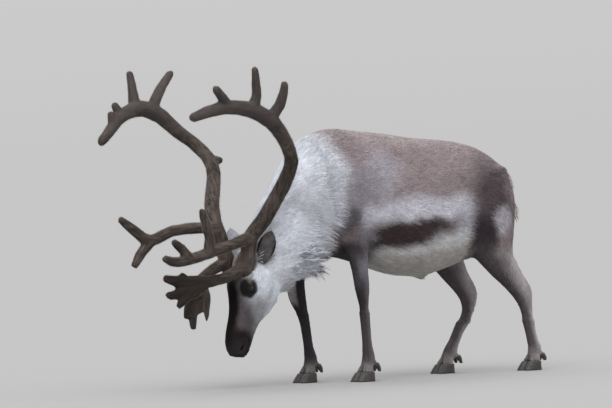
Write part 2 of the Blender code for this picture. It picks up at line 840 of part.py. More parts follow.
def lock_rings(root, normal, lie, kind, size, draw):
    """A flat, tapered lock that leaves the skin along its lie and bends down towards its tip."""
    length, half_width, half_thickness, lift, droop = LOCK_KINDS[kind]
    length *= size * draw.uniform(0.85, 1.15)
    heading = (lie.normalized() + normal * lift).normalized()
    side = heading.cross(normal).normalized()
    heading = (heading + side * draw.uniform(-0.15, 0.15)).normalized()
    point = root - normal * LOCK_SINK
    rings = []
    reached = 0.0
    for share, wide, thick in LOCK_PROFILE:
        point = point + heading * (length * (share - reached))
        reached = share
        heading = (heading + Vector((0.0, 0.0, -droop))).normalized()
        across = (side - heading * side.dot(heading)).normalized()
        rings.append(section(point, heading.cross(across) * (half_thickness * thick),
                             across * (half_width * wide), count=4, power=2.0))
    return rings


def fuse_locks(item, kind, spots):
    """Grow a lock at each spot (place, lie, size) of an object and make it all one closed body."""
    tree = BVHTree.FromObject(item, bpy.context.evaluated_depsgraph_get())
    draw = random.Random(LOCK_SEED)
    locks = bpy.data.collections.new("locks")
    bpy.context.scene.collection.children.link(locks)
    for place, lie, size in spots:
        root, normal = tree.find_nearest(place)[:2]
        mesh = bmesh.new()
        add_loft(mesh, lock_rings(root, normal, lie, kind, size, draw))
        lock = mesh_object("lock", mesh)
        bpy.context.scene.collection.objects.unlink(lock)
        locks.objects.link(lock)
    join = item.modifiers.new("join", "BOOLEAN")
    join.operation = "UNION"
    join.operand_type = "COLLECTION"
    join.collection = locks
    join.solver = "EXACT"
    apply_modifiers(item)
    for lock in list(locks.objects):
        discard(lock)
    bpy.data.collections.remove(locks)
    keep_largest(item)


def neck_place(row, angle):
    """A place on the neck at a row of its table, the angle counted from the throat."""
    stations = range(len(NECK))
    crest_x, crest_z, throat_x, throat_z, shift, width = (
        float(np.interp(row, stations, column)) for column in zip(*NECK)
    )
    crest = Vector((crest_x, shift, crest_z))
    throat = Vector((throat_x, shift, throat_z))
    middle = crest.lerp(throat, 0.5)
    return middle + (throat - middle) * math.cos(angle) + Vector((0.0, width * math.sin(angle), 0.0))


def mane_spots(wanted):
    """Where the throat mane grows, as far as wanted says so of the place."""
    spots = []
    for step in range(MANE_ROWS):
        row = MANE_FROM + (MANE_TO - MANE_FROM) * step / (MANE_ROWS - 1)
        for column in range(MANE_COLUMNS):
            across = (2.0 * column + step % 2) / (MANE_COLUMNS - 0.5) - 1.0
            place = neck_place(row, across * MANE_SPREAD)
            if wanted(place):
                lie = neck_place(row - 0.4, across * MANE_SPREAD) - place
                size = (1.0 - 0.25 * abs(across)) * min(1.0, 0.55 + 0.25 * (MANE_TO - row))
                spots.append((place, lie, size))
    return spots


def jaw_place(forward, across):
    """A place under the jaw, at a distance towards the nose and a share of the half width."""
    stations = [row[0] for row in HEAD]
    low = float(np.interp(forward, stations, [row[2] for row in HEAD]))
    half = float(np.interp(forward, stations, [row[3] for row in HEAD]))
    return on_head(-forward, low * (1.0 - 0.30 * across ** 2), half * across)


def jaw_spots():
    """Short locks along the under side of the jaw, which lie back towards the throat."""
    spots = []
    for forward in JAW_ROWS:
        for column in range(JAW_COLUMNS):
            across = 2.0 * column / (JAW_COLUMNS - 1) - 1.0
            place = jaw_place(forward, across)
            spots.append((place, jaw_place(forward - 0.03, across) - place, 1.0))
    return spots


def tail_spots():
    spots = []
    for step, height in enumerate(TAIL_LOCK_ROWS):
        x, radius = (float(np.interp(-height, [-row[2] for row in TAIL_ROWS], [row[k] for row in TAIL_ROWS]))
                     for k in (0, 3))
        for column in range(TAIL_LOCK_COLUMNS):
            angle = math.radians(-80.0 + 160.0 * (column + 0.5 * (step % 2)) / TAIL_LOCK_COLUMNS)
            place = Vector((x + radius * math.cos(angle), radius * math.sin(angle), height))
            spots.append((place, Vector((0.0, 0.0, -1.0)), 1.0 - 0.12 * step))
    return spots


def beyond(place, point, out):
    """How far a place lies beyond a plane."""
    return (place - point).dot(out.normalized())


def leg_box(leg, grown):
    """The box in which a leg is cut from the trunk, grown all round."""
    front, back, inner, top = leg["cut"]
    low = -0.5 * top
    outward = math.copysign(inner + 0.5 * LEG_BOX_WIDTH, leg["side"])
    middle = Vector((0.5 * (front + back), outward, 0.5 * (top + low)))
    half = (0.5 * (back - front) + grown, 0.5 * LEG_BOX_WIDTH + grown, 0.5 * (top - low) + grown)
    return box("leg_box", middle, half)


def cut_leg(torso, name, leg):
    """Part off what lies in the leg's box."""
    inner = leg_box(leg, -0.5 * GAP)
    outer = leg_box(leg, 0.5 * GAP)
    upper = copy_of(torso, name)
    combine(upper, inner, "INTERSECT")
    combine(torso, outer, "DIFFERENCE")
    discard(inner)
    discard(outer)
    keep_largest(upper)
    keep_largest(torso)
    return upper


def build_trunk_pieces(pieces):
    """The torso, the tail and the upper part of each leg."""
    mesh = bmesh.new()
    add_trunk(mesh)
    add_neck(mesh)
    for leg in LEGS.values():
        add_leg(mesh, leg, 0, 9)
    add_loft(mesh, tube_rings(smooth_rows(TAIL_ROWS, 3), SIDE, rounded=3))
    add_loft(mesh, tube_rings(smooth_rows(SHEATH_ROWS, 3), SIDE, rounded=3))
    torso = mesh_object("torso", mesh)
    even_out(torso, "trunk")
    fuse_locks(torso, "tail", tail_spots())
    pieces["tail"] = part_off(torso, "tail", TAIL_CUT, (1.0, 0.0, 0.0), 0.16, 0.115)
    for name, leg in LEGS.items():
        kind = "upper_foreleg" if name.startswith("front") else "thigh"
        side = name.split("_")[1]
        upper = cut_leg(torso, f"{kind}_{side}", leg)
        discard(part_off(upper, "lower", (0.0, 0.0, leg["split_z"]), (0.0, 0.0, -1.0)))
        pieces[upper.name] = upper
    discard(part_off(torso, "front", *NECK_CUT))
    pieces["torso"] = torso


def build_feet(pieces):
    """The lower part of each leg, its two toes and two dewclaws."""
    for name, leg in LEGS.items():
        mesh = bmesh.new()
        add_leg(mesh, leg, 3, 12)
        add_toe_roots(mesh, leg)
        for sign in (-1.0, 1.0):
            add_loft(mesh, tube_rings(smooth_rows(dewclaw_rows(leg, sign), 2), SIDE,
                                      count=10, flat=DEWCLAW_FLATNESS, rounded=2))
        whole = mesh_object("leg", mesh)
        even_out(whole, "leg")
        lower = part_off(whole, f"lower_leg_{name}", (0.0, 0.0, leg["split_z"]), (0.0, 0.0, -1.0))
        discard(whole)
        discard(part_off(lower, "below", (0.0, 0.0, TOE_TOP - 0.5 * GAP), (0.0, 0.0, -1.0)))
        for sign, word in ((-1.0, "left"), (1.0, "right")):
            rows = dewclaw_rows(leg, sign)
            start, end = Vector(rows[1][:3]), Vector(rows[2][:3])
            out = (end - start).normalized()
            claw = part_off(lower, f"dewclaw_{name}_{word}", start + out * DEWCLAW_CUT, out, 0.06, 0.016)
            pieces[claw.name] = claw
            toe = bmesh.new()
            add_loft(toe, [toe_ring(leg, sign, *row) for row in TOE_SECTIONS])
            bmesh.ops.triangulate(toe, faces=toe.faces)
            pieces[f"hoof_{name}_{word}"] = mesh_object(f"hoof_{name}_{word}", toe)
        pieces[lower.name] = lower


def head_cut():
    """A point on the cut between neck and head, and the direction into the head."""
    out = (on_head(-1.0, HEAD_CUT_LEAN, 0.0) - HEAD_ORIGIN).normalized()
    return on_head(HEAD_CUT_BACK, 0.0, 0.0), out


def build_neck(pieces):
    mesh = bmesh.new()
    add_trunk(mesh)
    add_neck(mesh)
    add_head(mesh)
    for leg in LEGS.values():
        add_leg(mesh, {"rows": leg["rows"], "side": leg["side"]}, 0, 4)
    whole = mesh_object("whole", mesh)
    even_out(whole, "neck")

    def on_neck(place):
        return beyond(place, *NECK_CUT) > ROOT_CLEAR and beyond(place, *head_cut()) < -ROOT_CLEAR

    fuse_locks(whole, "mane", mane_spots(on_neck))
    neck = part_off(whole, "neck", *NECK_CUT)
    discard(whole)
    discard(part_off(neck, "ahead", *head_cut()))
    foreleg = leg_box(LEGS["front_right"], 0.5 * GAP)
    combine(neck, foreleg, "DIFFERENCE")
    discard(foreleg)
    keep_largest(neck)
    pieces["neck"] = neck


def ear_frame(side):
    root = on_head(*mirrored(EAR_ROOT, side))
    tip = on_head(*mirrored(EAR_TIP[side], side))
    along = (tip - root).normalized()
    facing = on_head(*mirrored(EAR_FACING[side], side)) - HEAD_ORIGIN
    facing = (facing - along * facing.dot(along)).normalized()
    return root, tip, along, facing, along.cross(facing)


def ear_rings(side, wide_share, thick_share, lift, first, last):
    root, tip, along, facing, across = ear_frame(side)
    rings = []
    for share, width, thickness in EAR_SECTIONS[first:last]:
        middle = root.lerp(tip, share) + facing * (lift * thickness)
        rings.append(section(middle, facing * (thickness * thick_share), across * (width * wide_share),
                             count=14, power=2.0))
    return rings


def build_ear(side):
    mesh = bmesh.new()
    add_loft(mesh, ear_rings(side, 1.0, 1.0, 0.0, 0, 8))
    ear = mesh_object(f"ear_{side}", mesh)
    hollow = bmesh.new()
    add_loft(hollow, ear_rings(side, 0.80, 1.0, 0.75, 2, 7))
    scoop = mesh_object("scoop", hollow)
    combine(ear, scoop, "DIFFERENCE")
    discard(scoop)
    even_out(ear, "ear")
    keep_largest(ear)
    return ear


def lid_rings(side):
    """A flat ring of lid round the eye, standing a little proud of the cheek."""
    middle = on_head(*mirrored(EYE_MIDDLE, side))
    outward = (on_head(*mirrored((-0.02, 0.10, 1.0), side)) - HEAD_ORIGIN).normalized()
    lengthwise = (on_head(1.0, 0.22, 0.0) - HEAD_ORIGIN)
    lengthwise = (lengthwise - outward * lengthwise.dot(outward)).normalized()
    upwards = outward.cross(lengthwise)
    if side == "right":
        upwards = -upwards
    centre = middle + outward * (0.62 * EYE_RADIUS)
    rings = []
    count = 20
    for step in range(count):
        angle = math.tau * step / count
        spoke = lengthwise * (math.cos(angle) * LID_LENGTH) + upwards * (math.sin(angle) * LID_HEIGHT)
        out = spoke.normalized()
        thick = LID_THICKNESS * (1.0 + 0.30 * abs(math.sin(angle)))
        rings.append(section(centre + spoke, outward * thick, out * thick, count=8, power=2.0))
    return rings


def add_ring_loft(mesh, rings):
    """Skin a run of rings whose end meets its start."""
    rows = [[mesh.verts.new(point) for point in ring] for ring in rings]
    count = len(rows[0])
    for lower, upper in zip(rows, rows[1:] + rows[:1]):
        for step in range(count):
            following = (step + 1) % count
            mesh.faces.new((lower[step], lower[following], upper[following], upper[step]))


def ball(name, middle, sizes, turn, segments):
    """A ball of three half sizes."""
    mesh = bmesh.new()
    bmesh.ops.create_uvsphere(mesh, u_segments=segments, v_segments=segments // 2, radius=1.0)
    place = Matrix.Translation(middle) @ turn.to_4x4() @ Matrix.Diagonal((*sizes, 1.0))
    bmesh.ops.transform(mesh, matrix=place, verts=mesh.verts)
    return mesh_object(name, mesh)


def head_half_width(forward, up):
    """Half the width of the face at a distance towards the nose and a height."""
    stations = [row[0] for row in HEAD]
    top, bottom, width = (np.interp(forward, stations, [row[k] for row in HEAD]) for k in (1, 2, 3))
    height = min(abs((up - 0.5 * (top + bottom)) / (0.5 * (top - bottom))), 1.0)
    return width * (1.0 - height ** 2.3) ** (1 / 2.3)


def mouth_slit(side):
    """A groove along one side of the mouth, as a cutter."""
    path = []
    for forward in np.linspace(MOUTH_FROM, MOUTH_TO, 8):
        opened = min(1.0, (forward - MOUTH_FROM) / MOUTH_OPENS)
        half = head_half_width(forward, MOUTH_HEIGHT)
        spot = on_head(*mirrored((-forward, MOUTH_HEIGHT, half + 0.001), side))
        path.append((*spot, MOUTH_CORNER + (MOUTH_DEPTH - MOUTH_CORNER) * opened))
    mesh = bmesh.new()
    add_loft(mesh, tube_rings(path, on_head(0, 1, 0) - HEAD_ORIGIN, count=8, flat=0.7))
    return mesh_object("slit", mesh)


def build_head(pieces):
    mesh = bmesh.new()
    add_neck(mesh)
    add_head(mesh)
    for side in ("left", "right"):
        add_ring_loft(mesh, lid_rings(side))
        root, tip, along, facing, across = ear_frame(side)
        deep, wide = facing * EAR_STUB_DEPTH, across * EAR_STUB_WIDTH
        add_loft(mesh, [section(root + along * lift, deep, wide, count=SMALL_RING, power=2.0)
                        for lift in EAR_STUB_LIFTS])
        inside, foot, above = (on_head(*mirrored(row[:3], side)) for row in ANTLERS[side]["beam"][:3])
        pedicle = [(*spot, PEDICLE_RADIUS) for spot in (inside, foot, foot.lerp(above, PEDICLE_SHARE))]
        add_loft(mesh, tube_rings(pedicle, on_head(0, 0, 1) - HEAD_ORIGIN))
    whole = mesh_object("whole", mesh)
    even_out(whole, "head")
    fuse_locks(whole, "jaw", jaw_spots())
    head = part_off(whole, "head", *head_cut())
    discard(whole)
    head_turn = HEAD_FRAME.to_3x3()
    for side in ("left", "right"):
        root, tip, along, facing, across = ear_frame(side)
        discard(part_off(head, "stub", root, along, 0.06, 0.045))
        discard(part_off(head, "pedicle", *antler_root(side), 0.06, 0.042))
        ear = build_ear(side)
        pieces[f"ear_{side}"] = part_off(ear, f"ear_{side}", root, along, 0.40, 0.20)
        discard(ear)
        eye = on_head(*mirrored(EYE_MIDDLE, side))
        socket = ball("socket", eye, (EYE_RADIUS + GAP,) * 3, head_turn, EYE_SEGMENTS)
        combine(head, socket, "DIFFERENCE")
        discard(socket)
        pieces[f"eye_{side}"] = ball(f"eye_{side}", eye, (EYE_RADIUS,) * 3, head_turn, EYE_SEGMENTS)
        nostril = ball("nostril", on_head(*mirrored(NOSTRIL, side)), NOSTRIL_SIZE, head_turn, 12)
        combine(head, nostril, "DIFFERENCE")
        discard(nostril)
        slit = mouth_slit(side)
        combine(head, slit, "DIFFERENCE")
        discard(slit)
    keep_largest(head)
    pieces["head"] = head


def antler_root(side):
    """Where an antler stands on its pedicle, and the direction it leaves in."""
    root, above = (on_head(*mirrored(row[:3], side)) for row in ANTLERS[side]["beam"][1:3])
    return root, (above - root).normalized()


def build_antlers(pieces):
    """Each antler as one fused form, parted at its main forks."""
    left = on_head(0, 0, 1) - HEAD_ORIGIN
    for side, branches in ANTLERS.items():
        mesh = bmesh.new()
        for branch, rows in branches.items():
            spots = [(*on_head(*mirrored(row[:3], side)), row[3]) for row in rows]
            flat = next((share for start, share in FLATNESS.items() if branch.startswith(start)), 1.0)
            add_loft(mesh, tube_rings(smooth_rows(spots, 3), left, flat=flat, rounded=3))
        antler = mesh_object("antler", mesh)
        even_out(antler, "antler")
        for name, point, out, width in ANTLER_CUTS[side]:
            spot = on_head(*mirrored(point, side))
            heading = on_head(*mirrored(out, side)) - HEAD_ORIGIN
            piece = sever(antler, f"antler_{side}_{name}", spot, heading, width)
            pieces[piece.name] = piece
        base = part_off(antler, f"antler_{side}_base", *antler_root(side))
        discard(antler)
        pieces[base.name] = base


def settle(pieces):
    """Move the whole so that its box stands on the floor round the origin."""
    corners = np.array([vert.co[:] for item in pieces.values() for vert in item.data.vertices])
    low, high = corners.min(axis=0), corners.max(axis=0)
    shift = Vector((-0.5 * (low[0] + high[0]), -0.5 * (low[1] + high[1]), -low[2]))
    for item in pieces.values():
        item.data.transform(Matrix.Translation(shift))


def clear_of(item, other):
    """Cut an object back until it is GAP clear of another."""
    grown = copy_of(other, "grown")
    mesh = bmesh.new()
    mesh.from_mesh(grown.data)
    mesh.normal_update()
    moves = [vert.normal * (1.2 * GAP) for vert in mesh.verts]
    for vert, move in zip(mesh.verts, moves):
        vert.co += move
    mesh.to_mesh(grown.data)
    mesh.free()
    combine(item, grown, "DIFFERENCE")
    discard(grown)
    keep_largest(item)


def build():
    clean_scene()
    pieces = {}
    build_trunk_pieces(pieces)
    build_feet(pieces)
    build_neck(pieces)
    build_head(pieces)
    build_antlers(pieces)
    for side in ("left", "right"):
        for name in ("head", "neck", f"ear_{side}"):
            clear_of(pieces[name], pieces[f"antler_{side}_base"])
        clear_of(pieces["neck"], pieces[f"ear_{side}"])
    settle(pieces)
    materials = {name: make_material(name) for name in MATERIALS}
    reindeer = bpy.data.collections.new("reindeer")
    bpy.context.scene.collection.children.link(reindeer)
    for name, item in pieces.items():
        item.name = name
        item.data.name = name
        item.data.materials.clear()
        item.data.materials.append(materials[PIECE_MATERIALS[name.split("_")[0]]])
        item.data.set_sharp_from_angle(angle=math.radians(40.0))
        bpy.context.scene.collection.objects.unlink(item)
        reindeer.objects.link(item)


build()
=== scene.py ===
"""Looks of a life-size reindeer bull in summer velvet, grazing with its head down.

One skin stands for all the flesh, and lies under the coat by the coat's depth.  The coat is solid
tufts that follow the lie of the hair, with long locks under the throat, on the jaw and on the tail.
The animal faces -X and its left side is -Y.  Places of markings and of parts of the head are given in
the animal's own frame, where y = 0 is its middle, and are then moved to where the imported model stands.
"""
import math

import bmesh
import bpy
import numpy as np
from mathutils import Matrix, Vector
from mathutils.bvhtree import BVHTree
from mathutils.kdtree import KDTree


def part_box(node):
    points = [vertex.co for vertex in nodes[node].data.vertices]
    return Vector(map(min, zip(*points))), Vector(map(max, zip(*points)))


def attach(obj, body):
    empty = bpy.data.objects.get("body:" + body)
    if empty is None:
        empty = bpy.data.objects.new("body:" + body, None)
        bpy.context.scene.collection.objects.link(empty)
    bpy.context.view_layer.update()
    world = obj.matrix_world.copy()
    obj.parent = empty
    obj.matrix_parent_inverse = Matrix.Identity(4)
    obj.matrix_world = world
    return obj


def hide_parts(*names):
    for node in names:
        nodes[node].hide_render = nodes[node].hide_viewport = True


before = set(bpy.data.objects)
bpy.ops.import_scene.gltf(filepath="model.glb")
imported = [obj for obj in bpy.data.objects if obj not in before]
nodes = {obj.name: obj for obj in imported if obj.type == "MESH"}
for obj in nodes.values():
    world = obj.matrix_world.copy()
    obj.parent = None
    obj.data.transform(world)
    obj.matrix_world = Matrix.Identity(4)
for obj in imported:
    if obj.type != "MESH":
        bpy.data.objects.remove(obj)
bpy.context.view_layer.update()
rng = np.random.default_rng(20)

# The head's own frame: its origin is midway between the antler bases
HEAD_ORIGIN = np.array((-0.467, -0.05, 0.511))
HEAD_YAW = math.radians(8.0)
HEAD_PITCH = math.radians(80.0)
EYE_MIDDLE = np.array((-0.083, -0.036, 0.0615))
EYE_RADIUS = 0.0195
SIGNS = {"left": 1.0, "right": -1.0}
UP = np.array((0.0, 0.0, 1.0))


def head_axes():
    """The head's three directions as rows: back from the face, up from the forehead, to the left."""
    level = np.array((-math.cos(HEAD_YAW), -math.sin(HEAD_YAW), 0.0))
    nose = math.cos(HEAD_PITCH) * level - math.sin(HEAD_PITCH) * UP
    dorsal = math.sin(HEAD_PITCH) * level + math.cos(HEAD_PITCH) * UP
    return np.array((-nose, dorsal, np.cross(dorsal, nose)))


def box_middle(name):
    """The middle of a CAD node's box."""
    low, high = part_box(name)
    return 0.5 * (np.array(low) + np.array(high))


HEAD_AXES = head_axes()
# The way from the animal's own frame to where the model stands
SHIFT = box_middle("eye_left") - (HEAD_ORIGIN + EYE_MIDDLE @ HEAD_AXES)


def from_head(spots):
    """Places given in the head's frame, as places on the model."""
    return HEAD_ORIGIN + spots @ HEAD_AXES + SHIFT


def to_head(points):
    """Places on the model, in the head's frame."""
    return (points - SHIFT - HEAD_ORIGIN) @ HEAD_AXES.T


def head_parts(points):
    """Distances of points in the head's frame: towards the nose, up from the forehead, to the left."""
    part = to_head(points)
    return -part[:, 0], part[:, 1], part[:, 2]


def on_side(spot, side):
    """A place or direction given for the left of the head, for the side asked for."""
    return spot * (1.0, 1.0, SIGNS[side])


# Numbers over many points

def soft(low, high, value):
    """0 below low, 1 above high, with a smooth rise between."""
    share = np.clip((value - low) / (high - low), 0.0, 1.0)
    return share * share * (3.0 - 2.0 * share)


def unit(vectors):
    return vectors / np.maximum(np.linalg.norm(vectors, axis=-1, keepdims=True), 1e-9)

NOISE_CELLS = 64
NOISE_STEP = 17.3
NOISE_TABLE = rng.uniform(-1.0, 1.0, (NOISE_CELLS, NOISE_CELLS, NOISE_CELLS))


def clouds(points, size, layer=0):
    """Smooth noise between -1 and 1 whose blotches are about as large as size."""
    cell = points / size + NOISE_STEP * layer
    base = np.floor(cell).astype(int)
    share = cell - base
    share = share * share * (3.0 - 2.0 * share)
    total = np.zeros(len(points))
    for corner in np.ndindex(2, 2, 2):
        index = (base + corner) % NOISE_CELLS
        weight = np.prod(np.where(corner, share, 1.0 - share), axis=1)
        total += weight * NOISE_TABLE[index[:, 0], index[:, 1], index[:, 2]]
    return total


def spread(values, edges, rounds, weight=1.0, kept=0.5):
    """Average each point's values with its neighbours', round after round, and keep a share of its own."""
    first, second = edges.T
    size = len(values)
    weight = np.broadcast_to(weight, len(edges))
    whole = np.bincount(first, weight, size) + np.bincount(second, weight, size)
    for _ in range(rounds):
        total = np.empty_like(values)
        for column in range(values.shape[1]):
            total[:, column] = np.bincount(first, weight * values[second, column], size)
            total[:, column] += np.bincount(second, weight * values[first, column], size)
        values = kept * values + (1.0 - kept) * total / whole[:, None]
    return values


# Meshes as arrays

def read(items, quality, width, kind=float):
    """One quality of a mesh's points, edges or faces, with a row for each."""
    flat = np.empty(len(items) * width, dtype=kind)
    items.foreach_get(quality, flat)
    return flat.reshape(-1, width)


def read_points(mesh):
    return read(mesh.vertices, "co", 3)


def read_normals(mesh):
    return read(mesh.vertex_normals, "vector", 3)


def read_edges(mesh):
    return read(mesh.edges, "vertices", 2, np.int32)


def read_triangles(mesh, quality="vertices"):
    mesh.calc_loop_triangles()
    return read(mesh.loop_triangles, quality, 3, np.int32)


def write_points(mesh, points):
    mesh.vertices.foreach_set("co", points.ravel())
    mesh.update()


def new_mesh(name, shape):
    """A mesh made from a bmesh, which is then freed."""
    mesh = bpy.data.meshes.new(name)
    shape.to_mesh(mesh)
    shape.free()
    return mesh


def new_object(name, data):
    item = bpy.data.objects.new(name, data)
    bpy.context.scene.collection.objects.link(item)
    return item


def apply_modifiers(item):
    """Replace an object's mesh by what its modifiers make of it."""
    shapes = bpy.context.evaluated_depsgraph_get()
    mesh = bpy.data.meshes.new_from_object(item.evaluated_get(shapes))
    old = item.data
    item.modifiers.clear()
    item.data = mesh
    bpy.data.meshes.remove(old)


def keep_largest(mesh):
    """Drop loose scraps: only the largest connected part of a mesh stays."""
    first, second = read_edges(mesh).T
    label = np.arange(len(mesh.vertices))
    before = None
    while not np.array_equal(before, label):
        before = label.copy()
        low = np.minimum(label[first], label[second])
        np.minimum.at(label, first, low)
        np.minimum.at(label, second, low)
        label = label[label]
    main = np.bincount(label).argmax()
    shape = bmesh.new()
    shape.from_mesh(mesh)
    loose = [vert for vert in shape.verts if label[vert.index] != main]
    bmesh.ops.delete(shape, geom=loose, context="VERTS")
    shape.to_mesh(mesh)
    shape.free()


def gathered(members):
    """The named CAD nodes in one bmesh."""
    shape = bmesh.new()
    for member in members:
        shape.from_mesh(nodes[member].data)
    return shape


def fused(name, shape, voxel):
    """Closed surfaces that touch, as one closed surface."""
    item = new_object(name, new_mesh(name, shape))
    remesh = item.modifiers.new("remesh", "REMESH")
    remesh.mode = "VOXEL"
    remesh.voxel_size = voxel
    apply_modifiers(item)
    item.data.materials.clear()
    keep_largest(item.data)
    return item


WEIGHT_LEVELS = 20


def add_group(item, name, weights):
    """A vertex group with the weights given, in a few levels."""
    group = item.vertex_groups.new(name=name)
    levels = np.round(weights * WEIGHT_LEVELS).astype(int)
    for level in range(1, WEIGHT_LEVELS + 1):
        members = np.flatnonzero(levels == level)
        if len(members):
            group.add(members.tolist(), level / WEIGHT_LEVELS, "REPLACE")


def smooth(item, rounds, weights=None):
    """Even out a surface, all of it or where the weights say so."""
    modifier = item.modifiers.new("smooth", "SMOOTH")
    modifier.factor = 0.5
    modifier.iterations = rounds
    if weights is not None:
        add_group(item, "smooth", weights)
        modifier.vertex_group = "smooth"
    apply_modifiers(item)
    item.vertex_groups.clear()


# Camera: its angles round the animal, above the level and of its lean

CAMERA_TARGET = np.array((-0.089, 0.0, 0.765))
CAMERA_AZIMUTH = math.radians(-30.0)
CAMERA_RISE = math.radians(0.6)
CAMERA_ROLL = math.radians(2.5)
CAMERA_DISTANCE = 24.0
CAMERA_LENS = 331.8
CAMERA_SENSOR = 36.0


def add_camera():
    """A far camera on the animal's left and a little in front, which leans to one side."""
    turn = (Matrix.Rotation(CAMERA_AZIMUTH, 4, "Z") @ Matrix.Rotation(0.5 * math.pi - CAMERA_RISE, 4, "X")
            @ Matrix.Rotation(-CAMERA_ROLL, 4, "Z"))
    data = bpy.data.cameras.new("camera")
    data.sensor_width = CAMERA_SENSOR
    data.lens = CAMERA_LENS
    data.clip_end = 4.0 * CAMERA_DISTANCE
    item = new_object("camera", data)
    place = Vector(CAMERA_TARGET + SHIFT) + turn @ Vector((0.0, 0.0, CAMERA_DISTANCE))
    item.matrix_world = Matrix.Translation(place) @ turn
    bpy.context.scene.camera = item


# Skin

# The coat of each region: length and half width of a tuft, how far it stands off, tufts to a square
# metre, depth of the skin under the solids, and rounds of smoothing before and after it is thinned out
LENGTH, WIDTH, LIFT, DENSITY, DEPTH, EARLY_ROUNDS, LATE_ROUNDS = range(7)
COAT = {
    "torso": (0.028, 0.0018, 0.035, 46000, 0.007, 50, 30),
    "thigh": (0.022, 0.0016, 0.05, 52000, 0.0065, 60, 44),
    "upper": (0.015, 0.0013, 0.04, 70000, 0.005, 24, 8),
    "lower": (0.008, 0.0009, 0.05, 110000, 0.0025, 10, 0),
    "neck": (0.034, 0.0018, 0.035, 62000, 0.01, 60, 24),
    "tail": (0.04, 0.0016, 0.12, 80000, 0.008, 10, 2),
    "head": (0.009, 0.0009, 0.1, 185000, 0.0015, 5, 0),
    "ear": (0.0085, 0.0008, 0.14, 190000, 0.0003, 0, 0),
}
REGIONS = tuple(COAT)
FLESH = sorted(name for name in nodes if name.split("_")[0] in REGIONS)


def column(number):
    """One column of the coat's table, with a value for each region."""
    return np.array([row[number] for row in COAT.values()])


def within(regions, region):
    return regions == REGIONS.index(region)


def nearest_regions(points):
    """The number of the region whose solid is nearest to each point."""
    labels = []
    for name in FLESH:
        labels += [REGIONS.index(name.split("_")[0])] * len(nodes[name].data.polygons)
    shape = gathered(FLESH)
    tree = BVHTree.FromBMesh(shape)
    shape.free()
    return np.array([labels[tree.find_nearest(point)[2]] for point in points.tolist()])


SKIN_VOXEL = 0.003
SKIN_TRIANGLES = 120000
# The skin climbs the base of each antler up to these limits, back and up in the head's frame
PEDICLE_LIMITS = (0.04, 0.03)
CROWN_ROUNDS = 60
# The locks under the jaw are drawn up to this height in the head's frame, by this share
JAW_FLOOR = -0.182
JAW_SHARE = 0.9
JAW_DEPTH = 0.009
DEPTH_ROUNDS = 12


def add_pedicle(shape, side):
    """Add the lower end of an antler, which is clad in skin, to the flesh."""
    part = gathered([f"antler_{side}_base"])
    for row, limit in enumerate(PEDICLE_LIMITS):
        spot = np.zeros(3)
        spot[row] = limit
        geometry = list(part.verts) + list(part.edges) + list(part.faces)
        bmesh.ops.bisect_plane(part, geom=geometry, plane_co=from_head(spot).tolist(),
                               plane_no=HEAD_AXES[row].tolist(), clear_outer=True)
        rim = [edge for edge in part.edges if edge.is_boundary]
        bmesh.ops.holes_fill(part, edges=rim, sides=0)
    mesh = new_mesh("pedicle", part)
    shape.from_mesh(mesh)
    bpy.data.meshes.remove(mesh)


def make_skin():
    """The flesh as one skin, with the solids' coarse locks evened out, sunk by the coat's depth."""
    shape = gathered(FLESH)
    for side in SIGNS:
        add_pedicle(shape, side)
    skin = fused("skin", shape, SKIN_VOXEL)
    points = read_points(skin.data)
    regions = nearest_regions(points)
    forward, up, _ = head_parts(points)
    in_head = within(regions, "head")
    jaw = in_head * soft(0.1, 0.14, -up) * soft(-0.02, 0.03, forward)
    crown = in_head * soft(0.06, 0.03, forward) * soft(-0.12, -0.08, up)
    hanging = np.minimum(up - JAW_FLOOR, 0.0) * in_head
    hanging = hanging * soft(0.05, 0.08, forward) * soft(0.18, 0.15, forward)
    write_points(skin.data, points - JAW_SHARE * hanging[:, None] * HEAD_AXES[1])
    most = int(column(EARLY_ROUNDS).max())
    rounds = np.maximum(column(EARLY_ROUNDS)[regions], np.maximum(jaw, crown) * CROWN_ROUNDS)
    smooth(skin, most, np.clip(rounds / most, 0.0, 1.0))
    depth = column(DEPTH)[regions] + JAW_DEPTH * jaw
    depth = spread(depth[:, None], read_edges(skin.data), DEPTH_ROUNDS)
    write_points(skin.data, read_points(skin.data) - depth * read_normals(skin.data))
    add_group(skin, "thin", np.where(in_head | within(regions, "ear"), 0.0, 1.0))
    decimate = skin.modifiers.new("decimate", "DECIMATE")
    decimate.ratio = SKIN_TRIANGLES / (2.0 * len(skin.data.polygons))
    decimate.vertex_group = "thin"
    apply_modifiers(skin)
    skin.vertex_groups.clear()
    regions = nearest_regions(read_points(skin.data))
    most = int(column(LATE_ROUNDS).max())
    smooth(skin, most, column(LATE_ROUNDS)[regions] / most)
    return skin


# Face.  An eye's axis leads out of the head; places round it are given across the eye: towards the
# nose, up from the eye, and out along the axis

EYE_AXIS = np.array((-0.2, 0.1, 1.0))
EYE_REACH = 0.04
EYE_ROOM = 0.05
SOCKET_INNER = 0.0185
SOCKET_OUTER = 0.027
SOCKET_DEPTH = -0.005
BROW_SPOT = np.array((-0.078, -0.008, 0.066))
BROW_SIZE = 0.018
BROW_HEIGHT = 0.0035
NOSTRIL_SPOT = np.array((-0.34, -0.034, 0.04))
NOSTRIL_SLANT = 0.5
NOSTRIL_LONG = 0.0085
NOSTRIL_TALL = 0.0045
NOSTRIL_DEPTH = 0.008
NOSTRIL_RIM = 0.002
MOUTH_UP = -0.066
MOUTH_FROM = 0.288
MOUTH_HALF = 0.0035
MOUTH_DEPTH = 0.0035
LIP_HEIGHT = 0.0018
LIP_OFFSET = 0.01
MUZZLE_FROM = 0.285
MUZZLE_LOW = -0.13
# Added to a distance, it leaves a point out
AWAY = 10.0


